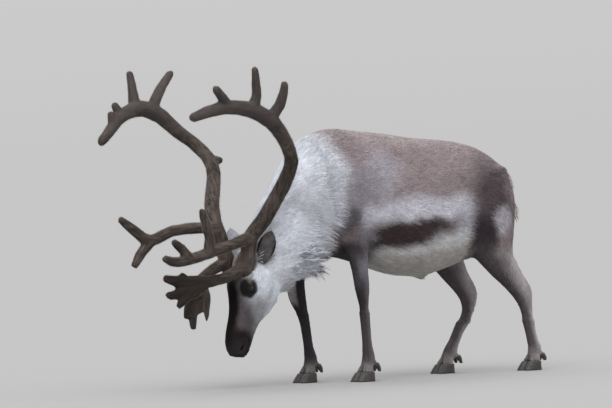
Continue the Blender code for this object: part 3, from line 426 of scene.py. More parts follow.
def eye_frame(side):
    """Middle of an eye and its directions as rows: towards the nose, up, out."""
    out = unit(on_side(EYE_AXIS, side) @ HEAD_AXES)
    nose = -HEAD_AXES[0]
    nose = unit(nose - (nose @ out) * out)
    up = SIGNS[side] * np.cross(nose, out)
    return from_head(on_side(EYE_MIDDLE, side)), np.array((nose, up, out))


def refine_face(skin):
    """Give the skin finer cells round the eyes and on the muzzle."""
    points = read_points(skin.data)
    forward, up, _ = head_parts(points)
    near = (forward > MUZZLE_FROM) & (up > MUZZLE_LOW)
    for side in SIGNS:
        near |= np.linalg.norm(points - eye_frame(side)[0], axis=1) < EYE_REACH
    shape = bmesh.new()
    shape.from_mesh(skin.data)
    edges = [edge for edge in shape.edges if near[edge.verts[0].index] and near[edge.verts[1].index]]
    bmesh.ops.subdivide_edges(shape, edges=edges, cuts=1, use_grid_fill=True)
    bmesh.ops.triangulate(shape, faces=[face for face in shape.faces if len(face.verts) > 4])
    shape.to_mesh(skin.data)
    shape.free()


def shape_face(skin):
    """Sink the sockets, raise the brows, and model the nostrils, the mouth and the lips."""
    points = read_points(skin.data)
    forward, up, left = head_parts(points)
    push = np.zeros(len(points))
    for sign in SIGNS.values():
        part = np.stack([-forward, up, sign * left], axis=1)
        push += BROW_HEIGHT * np.exp(-np.sum(((part - BROW_SPOT) / BROW_SIZE) ** 2, axis=1))
        back, above, out = (part - NOSTRIL_SPOT).T
        long = (back + NOSTRIL_SLANT * above) / NOSTRIL_LONG
        tall = (above - NOSTRIL_SLANT * back) / NOSTRIL_TALL
        ring = np.sqrt(long ** 2 + tall ** 2) + AWAY * (np.abs(out) > 0.03)
        push += NOSTRIL_RIM * np.exp(-((ring - 1.7) / 0.5) ** 2) - NOSTRIL_DEPTH * np.exp(-ring ** 2)
    at_mouth = soft(MOUTH_FROM, MOUTH_FROM + 0.02, forward)
    push -= MOUTH_DEPTH * at_mouth * np.exp(-((up - MOUTH_UP) / MOUTH_HALF) ** 2)
    for offset in (LIP_OFFSET, -LIP_OFFSET):
        lip = (up - MOUTH_UP - offset) / (0.7 * LIP_OFFSET)
        push += LIP_HEIGHT * at_mouth * np.exp(-lip ** 2)
    points = points + push[:, None] * read_normals(skin.data)
    for side in SIGNS:
        middle, axes = eye_frame(side)
        part = (points - middle) @ axes.T
        ring = np.linalg.norm(part[:, :2], axis=1)
        inside = soft(SOCKET_OUTER, SOCKET_INNER, ring) * (part[:, 2] > -EYE_RADIUS)
        sunk = np.minimum(part[:, 2], SOCKET_DEPTH)
        part[:, 2] += inside * (sunk - part[:, 2])
        points = middle + part @ axes
    write_points(skin.data, points)


# The opening between the lids: half length, height of its upper and lower edge, and the rings of a lid
# from its edge outwards: share of the opening's size, distance from the middle of the eye
OPENING_LONG = 0.0165
OPENING_UPPER = 0.01
OPENING_LOWER = 0.0085
OPENING_TILT = math.radians(12.0)
OPENING_TURN = np.array(((math.cos(OPENING_TILT), math.sin(OPENING_TILT)),
                         (-math.sin(OPENING_TILT), math.cos(OPENING_TILT))))
LID_RINGS = ((1.0, 0.02), (1.0, 0.0218), (1.16, 0.0228), (1.38, 0.0228))
LID_STEPS = 48
LID_OUTER = 0.029
LID_SINK = 0.0012
LID_SWELL = 0.0012
LID_SHARE = 0.55


def opening_edge(turn, share):
    """A place across the eye on the almond between the lids, made larger by share, at an angle."""
    tall = OPENING_UPPER if math.sin(turn) > 0.0 else OPENING_LOWER
    along = OPENING_LONG * math.cos(turn) * (1.0 + 0.8 * (share - 1.0))
    across = tall * math.sin(turn) * (1.0 - 0.25 * abs(math.cos(turn)) ** 3)
    return np.array((along, across * (1.0 + 1.5 * (share - 1.0)))) @ OPENING_TURN


def lid_rows(side, tree):
    """Rings of places from the edge of the lids outwards, and to under the skin that is in the tree."""
    middle, axes = eye_frame(side)
    turns = [2.0 * math.pi * step / LID_STEPS for step in range(LID_STEPS)]
    rows = []
    for share, radius in LID_RINGS:
        flats = [opening_edge(turn, share) for turn in turns]
        rows.append([middle + flat @ axes[:2] + math.sqrt(radius ** 2 - flat @ flat) * axes[2]
                     for flat in flats])
    last = []
    for turn in turns:
        flat = LID_OUTER * np.array((math.cos(turn + OPENING_TILT), math.sin(turn + OPENING_TILT)))
        start = middle + flat @ axes[:2] + EYE_ROOM * axes[2]
        hit = tree.ray_cast(Vector(start), Vector(-axes[2]))[0]
        last.append(np.array(hit) - LID_SINK * axes[2])
    swell = LID_SWELL * axes[2]
    rows.append([(1.0 - LID_SHARE) * a + LID_SHARE * b + swell for a, b in zip(rows[-1], last)])
    return rows + [last]


def add_lids(skin):
    """Lids as a rim round each eye that runs out under the skin of the face."""
    shape = bmesh.new()
    shape.from_mesh(skin.data)
    tree = BVHTree.FromBMesh(shape)
    for side in SIGNS:
        rings = [[shape.verts.new(spot.tolist()) for spot in row] for row in lid_rows(side, tree)]
        for near, far in zip(rings, rings[1:]):
            for step in range(LID_STEPS):
                after = (step + 1) % LID_STEPS
                corners = (near[step], near[after], far[after], far[step])
                shape.faces.new(corners if side == "left" else corners[::-1])
    shape.to_mesh(skin.data)
    shape.free()


add_camera()
skin = make_skin()
refine_face(skin)
shape_face(skin)
face_size = len(skin.data.vertices)
add_lids(skin)


# Lie of the coat

EAR_ROOT = np.array((0.022, -0.064, 0.078))
EAR_REACH = 0.12
EAR_RIM = (0.024, 0.034)
LIES = {
    "thigh": (0.35, 0.0, -1.0),
    "upper": (0.25, 0.0, -1.0),
    "lower": (0.05, 0.0, -1.0),
    "tail": (0.15, 0.0, -1.0),
    "neck": (0.6, 0.02, 0.16),
}
LIE_ROUNDS = 12


def ear_line(side):
    """The middle of an ear, and the direction from its root to its tip."""
    middle = box_middle("ear_" + side)
    return middle, unit(middle - from_head(on_side(EAR_ROOT, side)))


def lie_of(points, normals, regions):
    """The direction in which the hair lies at each point of the skin."""
    rear = soft(0.62, 0.85, points[:, 0] - SHIFT[0])[:, None]
    lie = np.array((1.0, 0.0, -0.18)) - rear * np.array((0.75, 0.0, 0.85))
    for region, way in LIES.items():
        lie[within(regions, region)] = way
    throat = within(regions, "neck") * soft(0.25, -0.55, normals[:, 2])
    lie += throat[:, None] * np.array((0.15, 0.0, -0.15))
    back, up, left = HEAD_AXES
    part = to_head(points)
    cheek = soft(0.06, 0.16, -part[:, 1])
    on_head = back - 0.45 * cheek[:, None] * up + 0.2 * np.sign(part[:, 2])[:, None] * left
    in_head = within(regions, "head")
    lie[in_head] = on_head[in_head]
    for side in SIGNS:
        middle, way = ear_line(side)
        near = within(regions, "ear") & (np.abs(points - middle).max(axis=1) < EAR_REACH)
        lie[near] = way
    return unit(lie)


def along_surface(vectors, normals):
    """Directions laid flat on the skin, save where they lead almost straight off it."""
    out = np.sum(vectors * normals, axis=1, keepdims=True)
    flat = vectors - out * normals
    free = soft(0.3, 0.1, np.linalg.norm(flat, axis=1, keepdims=True))
    return unit(flat + np.maximum(out, 0.0) * free * normals)


LIE_ROUNDS = 12
skin_points = read_points(skin.data)
skin_normals = read_normals(skin.data)
skin_edges = read_edges(skin.data)
skin_regions = nearest_regions(skin_points)
skin_lie = along_surface(lie_of(skin_points, skin_normals, skin_regions), skin_normals)
skin_lie = along_surface(spread(skin_lie, skin_edges, LIE_ROUNDS), skin_normals)


# Markings

TAUPE = (0.232, 0.19, 0.198)
PALE = (0.57, 0.59, 0.65)
SMOKE = (0.33, 0.325, 0.36)
# The belly's cream, darkened in part as painted shade under the body
CREAM_WITH_SHADE = (0.42, 0.4, 0.38)
DARK = (0.042, 0.03, 0.03)
BLACK = (0.009, 0.007, 0.007)
# Markings of the trunk, the same on both sides: middle x and z, half length, half height, slope,
# softness of the edge, strength, colour
TRUNK_MARKS = (
    # Painted highlight: a paler strip along the top of the back that stands in for rim light
    (0.4, 1.04, 0.62, 0.045, -0.1, 0.9, 0.35, (0.34, 0.305, 0.3)),
    (0.33, 0.715, 0.27, 0.05, 0.04, 0.6, 0.95, (0.495, 0.49, 0.55)),
    (0.56, 0.665, 0.055, 0.075, 0.0, 0.7, 0.85, (0.42, 0.415, 0.46)),
    # The belly: its own cream colour, with painted shade in it
    (0.4, 0.48, 0.36, 0.095, 0.02, 0.35, 1.0, CREAM_WITH_SHADE),
    (0.36, 0.575, 0.26, 0.03, 0.08, 0.6, 0.8, (0.56, 0.555, 0.57)),
    (0.262, 0.625, 0.2, 0.05, 0.13, 0.55, 1.0, DARK),
    (0.71, 0.77, 0.085, 0.11, 0.0, 1.0, 0.86, (0.046, 0.035, 0.04)),
    (0.662, 0.585, 0.056, 0.1, 0.0, 0.8, 0.95, (0.026, 0.02, 0.024)),
    (0.765, 0.66, 0.04, 0.05, 0.0, 0.7, 0.85, (0.4, 0.385, 0.43)),
    (0.87, 0.79, 0.04, 0.08, 0.0, 0.8, 0.6, (0.22, 0.186, 0.212)),
    (0.15, 0.865, 0.08, 0.085, 0.3, 0.9, 0.75, (0.35, 0.33, 0.375)),
    (0.06, 0.785, 0.07, 0.07, 0.3, 0.9, 0.55, (0.2, 0.19, 0.225)),
    (0.015, 0.69, 0.055, 0.055, 0.2, 0.7, 0.9, (0.052, 0.048, 0.058)),
    (0.11, 0.63, 0.04, 0.05, 0.0, 0.8, 0.6, (0.2, 0.188, 0.214)),
    (0.05, 0.545, 0.07, 0.04, 0.0, 0.6, 0.85, BLACK),
)
# The pale neck ends on the shoulder along a slanting line: x at a height, and its slope
COLLAR_X = -0.04
COLLAR_Z = 0.68
COLLAR_SLOPE = 0.29
COLLAR_SOFT = 0.05
COLLAR_TOP = 0.9
COLLAR_TOP_SLOPE = 0.85


def blend(colours, mask, colour):
    """Colours moved towards another as far as the mask says."""
    return colours + mask[:, None] * (np.asarray(colour) - colours)


# Legs: the tone in front and what is added to it behind, and the tones of the marks
FORE_TONES = np.array(((0.056, 0.05, 0.056), (0.1, 0.09, 0.098)))
HIND_TONES = np.array(((0.08, 0.068, 0.073), (0.3, 0.278, 0.285)))
BAND_TONE = (0.2, 0.198, 0.232)
KNEE_TONE = (0.03, 0.023, 0.024)
FAR_TONE = (0.022, 0.019, 0.022)
STREAK_TONE = (0.38, 0.37, 0.36)
PASTERN_TONE = (0.26, 0.24, 0.23)


def leg_colours(normals, x, y, z):
    """Dark in front and lighter behind, with dark knees and paler pasterns."""
    rear = soft(-0.4, 0.7, normals[:, 0])[:, None]
    hind = soft(0.45, 0.6, x)
    fore = 1.0 - hind
    leg = blend(FORE_TONES[0] + rear * FORE_TONES[1], hind, HIND_TONES[0] + rear * HIND_TONES[1])
    band = soft(0.42, 0.47, z) * soft(0.56, 0.5, z) * fore * soft(-0.9, 0.0, normals[:, 0])
    leg = blend(leg, 0.65 * band, BAND_TONE)
    knee = soft(0.44, 0.38, z) * soft(0.26, 0.32, z) * soft(0.2, -0.5, normals[:, 0]) * fore
    leg = blend(leg, 0.8 * knee, KNEE_TONE)
    far = soft(-0.02, 0.03, y) * fore * soft(0.6, 0.5, z)
    leg = blend(leg, 0.8 * far, FAR_TONE)
    facing = soft(-0.75, -0.95, normals[:, 0] + 0.5 * normals[:, 1])
    streak = far * soft(0.33, 0.37, z) * soft(0.47, 0.43, z) * facing
    leg = blend(leg, 0.7 * streak, STREAK_TONE)
    return blend(leg, 0.5 * soft(0.12, 0.06, z), PASTERN_TONE)


# Markings of the face: distances towards the nose, up and out, sizes, softness, strength, colour
FACE_BASE = (0.68, 0.715, 0.78)
FACE_MARKS = (
    (0.07, 0.0, 0.0, 0.095, 0.062, 0.062, 0.5, 0.92, (0.06, 0.049, 0.05)),
    (-0.04, 0.01, 0.0, 0.05, 0.06, 0.06, 0.6, 0.85, (0.245, 0.222, 0.198)),
    (0.225, -0.03, 0.0, 0.11, 0.08, 0.085, 0.6, 0.95, (0.06, 0.046, 0.046)),
    (0.165, -0.095, 0.05, 0.05, 0.035, 0.04, 0.8, 0.6, (0.28, 0.27, 0.285)),
    (0.18, 0.02, 0.0, 0.13, 0.042, 0.034, 0.5, 1.0, BLACK),
    (0.33, -0.03, 0.0, 0.07, 0.09, 0.09, 0.4, 0.95, (0.014, 0.01, 0.01)),
    (0.32, -0.1, 0.0, 0.05, 0.022, 0.045, 0.6, 0.6, (0.16, 0.15, 0.146)),
    (0.087, -0.024, 0.062, 0.041, 0.035, 0.045, 0.22, 0.97, (0.01, 0.008, 0.008)),
    (0.042, -0.022, 0.062, 0.018, 0.01, 0.03, 0.8, 0.55, (0.26, 0.225, 0.2)),
)
MOUTH_TINT = (0.012, 0.008, 0.008)
EAR_TONE = (0.12, 0.11, 0.112)
EAR_RIM_TONE = (0.02, 0.016, 0.016)
FAR_EAR_TONE = (0.42, 0.425, 0.47)
TAIL_TONE = (0.6, 0.56, 0.53)
# The edges of the markings wander, by this much in blotches of this size
WANDER_SIZE, WANDER_REACH = 0.09, 0.014
FINE_SIZE, FINE_REACH = 0.022, 0.007


def face_colours(points):
    """The markings of the face, the same on both sides."""
    forward, up, side = head_parts(points)
    face = np.tile(np.array(FACE_BASE), (len(points), 1))
    for mid_f, mid_u, mid_s, half_f, half_u, half_s, edge, strength, colour in FACE_MARKS:
        distance = np.sqrt(((forward - mid_f) / half_f) ** 2 + ((up - mid_u) / half_u) ** 2
                           + ((np.abs(side) - mid_s) / half_s) ** 2)
        face = blend(face, strength * soft(1.0 + edge, 1.0 - 0.5 * edge, distance), colour)
    line = np.exp(-((up - MOUTH_UP) / MOUTH_HALF) ** 2) * soft(MOUTH_FROM, MOUTH_FROM + 0.02, forward)
    return blend(face, line, MOUTH_TINT)


def ear_rim(points):
    """1 on the rim of an ear and 0 inside it."""
    rim = np.zeros(len(points))
    for side in SIGNS:
        middle, axis = ear_line(side)
        offset = points - middle
        across = np.linalg.norm(offset - (offset @ axis)[:, None] * axis, axis=1)
        near = np.linalg.norm(offset, axis=1) < EAR_REACH
        rim = np.maximum(rim, near * soft(*EAR_RIM, across))
    return rim


def coat_colours(points, normals, shares):
    """The markings: a colour for each point of the coat, given its share of each region."""
    wander = np.stack([clouds(points, WANDER_SIZE, layer) for layer in (1, 2, 3)], axis=1)
    fine = np.stack([clouds(points, FINE_SIZE, layer) for layer in (4, 5, 6)], axis=1)
    share = dict(zip(REGIONS, shares.T))
    on_head = share["head"] + share["ear"]
    loose = (1.0 - 0.75 * np.clip(on_head, 0.0, 1.0))[:, None]
    moved = points + loose * (WANDER_REACH * wander + FINE_REACH * fine)
    x, y, z = (moved - SHIFT).T
    colours = np.tile(np.array(TAUPE), (len(points), 1))
    for mid_x, mid_z, half_x, half_z, slope, edge, strength, colour in TRUNK_MARKS:
        across = (z - mid_z - slope * (x - mid_x)) / half_z
        distance = np.hypot(across, (x - mid_x) / half_x)
        colours = blend(colours, strength * soft(1.0 + edge, 1.0 - 0.5 * edge, distance), colour)
    legs = share["lower"] + share["upper"] * soft(0.63, 0.52, z) + share["thigh"] * soft(0.66, 0.46, z)
    legs = np.clip(legs, 0.0, 1.0)
    colours = blend(colours, legs, leg_colours(normals, x, y, z))
    collar = COLLAR_X + COLLAR_SLOPE * (z - COLLAR_Z) - COLLAR_TOP_SLOPE * np.maximum(z - COLLAR_TOP, 0.0) - x
    neck = np.clip(soft(-COLLAR_SOFT, COLLAR_SOFT, collar) * (1.0 - on_head) * (1.0 - legs), 0.0, 1.0)
    neck = neck * np.clip(1.0 - share["lower"] - share["upper"] - share["thigh"], 0.0, 1.0)
    pale = np.array(PALE) * (1.0 + 0.13 * wander[:, :1] + 0.08 * fine[:, 1:2])
    colours = blend(colours, neck, pale)
    nape = neck * soft(0.6, 0.7, z) * soft(-0.34, -0.22, x) * soft(-0.1, 0.5, wander[:, 2])
    colours = blend(colours, 0.45 * nape, SMOKE)
    colours = blend(colours, share["head"], face_colours(points + 0.004 * fine))
    ears = np.array(EAR_TONE) * (1.0 + 0.35 * fine[:, :1])
    ears = blend(ears, ear_rim(points), EAR_RIM_TONE)
    ears = blend(ears, soft(0.0, 0.04, y), FAR_EAR_TONE)
    colours = blend(colours, share["ear"], ears)
    colours = blend(colours, share["tail"], TAIL_TONE)
    mottle = 1.0 + (0.05 + 0.06 * loose[:, 0]) * wander[:, 1] + 0.1 * fine[:, 2]
    return np.clip(colours * mottle[:, None], 0.004, 0.95)


region_shares = np.zeros((len(skin_points), len(REGIONS)))
region_shares[np.arange(len(skin_points)), skin_regions] = 1.0
region_shares = spread(region_shares, skin_edges, 5)
skin_colours = coat_colours(skin_points, skin_normals, region_shares)


# Materials

SHEEN_ROUGHNESS = 0.15
GRAIN_HEIGHT = 0.002


def set_inputs(node, values):
    for name, value in values.items():
        node.inputs[name].default_value = value


def new_nodes(tree, *kinds):
    return [tree.nodes.new("ShaderNode" + kind) for kind in kinds]


def join(tree, links):
    """Link nodes: each link is a node, its output, the next node and its input."""
    for start, given, end, taken in links:
        tree.links.new(start.outputs[given], end.inputs[taken])


def new_material(name, values):
    """A material and its shader, with values for the shader's sockets."""
    material = bpy.data.materials.new(name)
    material.use_nodes = True
    shader = material.node_tree.nodes["Principled BSDF"]
    set_inputs(shader, values)
    return material, shader


def painted_material(name, grain, roughness, sheen, bump, variation, specular):
    """A surface whose colour is stored on its points, with a fine grain over it."""
    material, shader = new_material(name, {
        "Roughness": roughness, "Sheen Weight": sheen, "Sheen Roughness": SHEEN_ROUGHNESS,
        "Specular IOR Level": specular})
    tree = material.node_tree
    stored, place, stretch, noise, level, tint, relief = new_nodes(
        tree, "Attribute", "TexCoord", "Mapping", "TexNoise", "MapRange", "VectorMath", "Bump")
    stored.attribute_name = "coat"
    tint.operation = "SCALE"
    set_inputs(stretch, {"Scale": grain})
    set_inputs(noise, {"Scale": 1.0, "Detail": 3.0})
    set_inputs(level, {"From Min": 0.3, "From Max": 0.7})
    set_inputs(level, {"To Min": 1.0 - variation, "To Max": 1.0 + variation})
    set_inputs(relief, {"Strength": bump, "Distance": GRAIN_HEIGHT})
    join(tree, (
        (place, "Object", stretch, "Vector"),
        (stretch, "Vector", noise, "Vector"),
        (noise, "Fac", level, "Value"),
        (stored, "Color", tint, 0),
        (level, "Result", tint, "Scale"),
        (tint, "Vector", shader, "Base Color"),
        (noise, "Fac", relief, "Height"),
        (relief, "Normal", shader, "Normal"),
    ))
    return material


# Grain is the noise's scale along each axis; then roughness, sheen, bump, variation and specular
coat_material = painted_material("coat", (130.0, 260.0, 130.0), 0.85, 0.12, 0.4, 0.1, 0.06)
velvet_material = painted_material("velvet", (350.0, 350.0, 350.0), 0.85, 0.6, 0.5, 0.18, 0.08)
horn_material = painted_material("horn", (60.0, 60.0, 700.0), 0.42, 0.0, 0.5, 0.25, 0.5)
eye_material = painted_material("eye", (400.0, 400.0, 400.0), 0.04, 0.0, 0.0, 0.1, 0.5)


def dress(item, colours, material, slot, *replaced):
    """Give a piece its looks, tie it to the body, and hide the CAD nodes that it stands for."""
    mesh = item.data
    four = np.ones((len(colours), 4))
    four[:, :3] = np.clip(colours, 0.0, 1.0)
    mesh.color_attributes.new("coat", "FLOAT_COLOR", "POINT").data.foreach_set("color", four.ravel())
    mesh.materials.append(material)
    mesh.polygons.foreach_set("use_smooth", np.ones(len(mesh.polygons), dtype=bool))
    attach(item, "root")
    if replaced:
        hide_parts(*replaced)


UNWRAP_ANGLE = math.radians(66.0)
UNWRAP_GAP = 0.002


def unwrap(item):
    """Lay the surface of an object out flat in its map for baking."""
    item.data.uv_layers.new(name="OFBake")
    bpy.context.view_layer.objects.active = item
    item.select_set(True)
    bpy.ops.object.mode_set(mode="EDIT")
    bpy.ops.mesh.select_all(action="SELECT")
    bpy.ops.uv.smart_project(angle_limit=UNWRAP_ANGLE, island_margin=UNWRAP_GAP)
    bpy.ops.object.mode_set(mode="OBJECT")
    item.select_set(False)


# Painted shade: the skin under the tufts is darkened for the shade between them
SKIN_SHADE_BETWEEN_TUFTS = 0.9
dress(skin, skin_colours * SKIN_SHADE_BETWEEN_TUFTS, coat_material, "brown_coat", *FLESH)
unwrap(skin)


# Roots of hairs on a surface

class Roots:
    """Places scattered over a mesh, with whatever is known on its points carried over to them."""

    def __init__(self, mesh, density):
        triangles = read_triangles(mesh)
        points = read_points(mesh)
        corners = points[triangles]
        crossed = np.cross(corners[:, 1] - corners[:, 0], corners[:, 2] - corners[:, 0])
        amount = 0.5 * np.linalg.norm(crossed, axis=1) * density[triangles].mean(axis=1)
        reached = np.cumsum(amount)
        self.count = int(reached[-1])
        picks = (np.arange(self.count) + rng.random(self.count)) * reached[-1] / self.count
        chosen = np.minimum(np.searchsorted(reached, picks), len(amount) - 1)
        first = np.sqrt(rng.random(self.count))
        second = rng.random(self.count)
        self.weights = np.stack([1.0 - first, first * (1.0 - second), first * second], axis=1)
        self.corners = triangles[chosen]
        self.points = self.carry(points)
        self.normals = unit(self.carry(read_normals(mesh)))
        flat = read(mesh.uv_layers["OFBake"].data, "uv", 2)
        self.places = self.mixed(flat[read_triangles(mesh, "loops")[chosen]])

    def mixed(self, values):
        """Values at the three corners round each root, as one for the root."""
        return np.einsum("ij,ijk->ik", self.weights, values)

    def carry(self, values):
        """Values on the mesh's points, as values at the roots."""
        return self.mixed(values[self.corners])

    def tufts(self, **qualities):
        """The roots as tufts with the qualities given, as one array for each quality."""
        return {"points": self.points, "normals": self.normals, "places": self.places} | qualities


def clumped(points, lies, step, pull):
    """How far the tip of each tuft leans over to the middle of its clump."""
    middles = points[::step]
    tree = KDTree(len(middles))
    for index, middle in enumerate(middles.tolist()):
        tree.insert(middle, index)
    tree.balance()
    nearest = np.array([tree.find(point)[1] for point in points.tolist()])
    offset = middles[nearest] - points
    offset -= np.sum(offset * lies, axis=1, keepdims=True) * lies
    return pull * offset, nearest


SWIRL_LAYER = 7


def swirled(roots, lies, strength, size, scatter):
    """The lie of each tuft turned on the surface, in swirls together and a little by itself."""
    turn = strength * clouds(roots.points, size, SWIRL_LAYER) + rng.normal(0.0, scatter, roots.count)
    aside = np.cross(roots.normals, lies)
    return unit(lies * np.cos(turn)[:, None] + aside * np.sin(turn)[:, None])


# Tufts

BAKE_PATCH = 0.003
SIDES = 3
RING_ACROSS = np.array((-1.0, 1.0, 0.0))
RING_OUT = np.array((-0.16, -0.16, 0.42))
NORMAL_FROM_SKIN = 0.82
SIDEWAYS = np.array((0.0, 1.0, 0.0))
TONE_SCATTER = 0.07
# Tufts are darker at the root, as painted shade among the tufts
ROOT_SHADE = 0.9


def tuft_faces(rings):
    """One tuft's corners, and for each face its size and 1 if it faces off the skin or -1 if not."""
    tip = 1 + rings * SIDES
    faces = []
    for side in range(SIDES):
        after = (side + 1) % SIDES
        faces.append((0, 1 + after, 1 + side))
        for near in range(1, tip - SIDES, SIDES):
            faces.append((near + side, near + after, near + SIDES + after, near + SIDES + side))
        faces.append((tip - SIDES + side, tip - SIDES + after, tip))
    corners = np.array([corner for face in faces for corner in face])
    return corners, np.array([len(face) for face in faces]), np.repeat((-1.0, 1.0, 1.0), rings + 1)


def grow(name, tufts, rings, material, slot, from_skin=NORMAL_FROM_SKIN):
    """Solid tufts as one piece.  Each bends from a buried root through its rings to a point.

    tufts holds one array for each quality; rings lists share of the length and of the width."""
    roots, normals, lies, base = [tufts[key] for key in ("points", "normals", "lies", "base")]
    scalars = ("lengths", "widths", "lifts", "droops")
    lengths, widths, lifts, droops = [tufts[key][:, None] for key in scalars]
    start = unit(lies + lifts * normals)
    clear = np.linalg.norm(np.cross(normals, start), axis=1, keepdims=True)
    aside = np.sign(roots[:, 1:2] - SHIFT[1]) * SIDEWAYS
    facing = normals + soft(0.5, 0.15, clear) * aside
    outward = unit(facing - np.sum(facing * start, axis=1, keepdims=True) * start)
    across = np.cross(outward, start)

    def path(share):
        rise = lifts * (1.6 * share - 0.6 * share ** 2) * normals
        droop = droops * share ** 2 * UP
        return roots + lengths * (share * lies + rise - droop) + tufts["gathers"] * share ** 1.3

    verts = [roots - 0.3 * widths * normals]
    patch = [(0.0, 0.0)]
    for share, width in rings:
        middle = path(share)
        for side in range(SIDES):
            offset = RING_ACROSS[side] * across + RING_OUT[side] * outward
            verts.append(middle + widths * width * offset)
            patch.append((0.5 * RING_ACROSS[side], share))
    verts = np.stack(verts + [path(1.0)], axis=1)
    patch = np.array(patch + [(0.0, 1.0)])
    tones = base[:, None] + patch[:, 1:] * (tufts["tips"] - base)[:, None]
    spots = tufts["places"][:, None] + BAKE_PATCH * (patch - (0.0, 0.5))
    count, per = verts.shape[:2]
    corners, sizes, facing = tuft_faces(len(rings))
    loops = (corners[None, :] + per * np.arange(count)[:, None]).ravel()
    starts = (np.cumsum(sizes) - sizes)[None, :] + len(corners) * np.arange(count)[:, None]
    mesh = bpy.data.meshes.new(name)
    mesh.vertices.add(count * per)
    mesh.vertices.foreach_set("co", verts.ravel())
    mesh.loops.add(len(loops))
    mesh.loops.foreach_set("vertex_index", loops)
    mesh.polygons.add(starts.size)
    mesh.polygons.foreach_set("loop_start", starts.ravel())
    mesh.update(calc_edges=True)
    layer = mesh.uv_layers.new(name="OFBake")
    layer.data.foreach_set("uv", spots.reshape(-1, 2)[loops].ravel())
    dress(new_object(name, mesh), tones.reshape(-1, 3), material, slot)
    own = read_normals(mesh)[loops].reshape(count, -1, 3)
    shade = from_skin * np.repeat(facing, sizes)[None, :, None] * outward[:, None] + (1.0 - from_skin) * own
    mesh.normals_split_custom_set(unit(shade).reshape(-1, 3))


def picked(tufts, members):
    return {name: values[members] for name, values in tufts.items()}


def toned(tufts, colours, nearest, clump_scatter, tip):
    """Give tufts the skin's colours, darker at the roots as painted shade, each tuft and each clump a little
    lighter or darker.
    """
    count = len(nearest)
    shade = rng.normal(1.0, TONE_SCATTER, count) * (1.0 + clump_scatter * rng.standard_normal(count)[nearest])
    for name, level in (("base", ROOT_SHADE), ("tips", tip)):
        tufts[name] = np.clip(colours * (level * shade)[:, None], 0.0, 1.0)


# Short coat.  Tufts keep clear of the eyes, by less on the lids than on the skin under them

EYE_CLEAR = (LID_OUTER - 0.001, LID_OUTER + 0.001)
LID_CLEAR = (0.017, 0.019)
SHORT_RINGS = ((0.45, 1.0),)
CLUMP_STEP = 9
CLUMP_PULL = 0.3
SWIRL_SIZE = 0.05
SWIRL = 0.32
SWIRL_SCATTER = 0.09
# Tufts in one piece, with six triangles each
PIECE_TUFTS = 31000
PALE_REGIONS = ("neck", "head", "tail")


def eye_distance(points):
    """Distance of each point from the axis of the nearer eye."""
    rings = []
    for side in SIGNS:
        middle, axes = eye_frame(side)
        part = (points - middle) @ axes.T
        rings.append(np.linalg.norm(part[:, :2], axis=1) + AWAY * (np.abs(part[:, 2]) > EYE_ROOM))
    return np.minimum(*rings)


def short_coat():
    """The tufts that cover the whole skin."""
    ring = eye_distance(skin_points)
    on_face = np.arange(len(ring)) < face_size
    clear = np.where(on_face, soft(*EYE_CLEAR, ring), soft(*LID_CLEAR, ring))
    roots = Roots(skin.data, column(DENSITY)[skin_regions] * clear)
    count = roots.count
    shares = roots.carry(region_shares)
    lies = swirled(roots, unit(roots.carry(skin_lie)), SWIRL, SWIRL_SIZE, SWIRL_SCATTER)
    gathers, nearest = clumped(roots.points, lies, CLUMP_STEP, CLUMP_PULL)
    tufts = roots.tufts(
        lies=lies,
        gathers=gathers,
        lengths=shares @ column(LENGTH) * rng.uniform(0.75, 1.25, count),
        widths=shares @ column(WIDTH) * rng.uniform(0.8, 1.2, count),
        lifts=shares @ column(LIFT) * rng.uniform(0.5, 1.5, count),
        droops=np.zeros(count),
    )
    tufts["lifts"] *= 1.0 + 0.5 * clouds(roots.points, 0.03, 8)
    toned(tufts, roots.carry(skin_colours), nearest, 0.07, 1.06)
    regions = skin_regions[roots.corners[:, 0]]
    for region in REGIONS:
        members = np.flatnonzero(within(regions, region))
        key = roots.points[members, 1 if region == "head" else 0]
        members = members[np.argsort(key, kind="stable")]
        parts = math.ceil(len(members) / PIECE_TUFTS)
        for part, chunk in enumerate(np.array_split(members, parts)):
            slot = "pale_coat" if region in PALE_REGIONS else "brown_coat"
            grow(f"coat_{region}_{part + 1}", picked(tufts, chunk), SHORT_RINGS, coat_material, slot)


short_coat()


# Long hair: one tuft in every LOCK_STEP leads a lock, and the others lean over to it

LONG_RINGS = ((0.22, 0.8), (0.5, 1.0), (0.78, 0.7))
LONG_FROM_SKIN = 0.65
LOCK_STEP = 12
LOCK_PULL = 0.45


def long_hair(name, where, density, length, width, lift, droop, way):
    """Locks of long hair where the skin says so, turned a little the way that is given."""
    roots = Roots(skin.data, density * where)
    count = roots.count
    lies = swirled(roots, unit(roots.carry(skin_lie) + np.array(way)), 0.35, 0.04, 0.1)
    gathers, nearest = clumped(roots.points, lies, LOCK_STEP, LOCK_PULL)
    share = rng.uniform(0.7, 1.2, count) * (0.9 + 0.25 * rng.standard_normal(count)[nearest])
    tufts = roots.tufts(
        lies=lies,
        gathers=gathers,
        lengths=length * np.clip(share, 0.45, 1.35),
        widths=width * rng.uniform(0.8, 1.2, count),
        lifts=lift * rng.uniform(0.4, 1.5, count),
        droops=droop * rng.uniform(0.6, 1.4, count),
    )
    toned(tufts, roots.carry(skin_colours), nearest, 0.06, 1.08)
    grow(name, tufts, LONG_RINGS, coat_material, "pale_coat", LONG_FROM_SKIN)


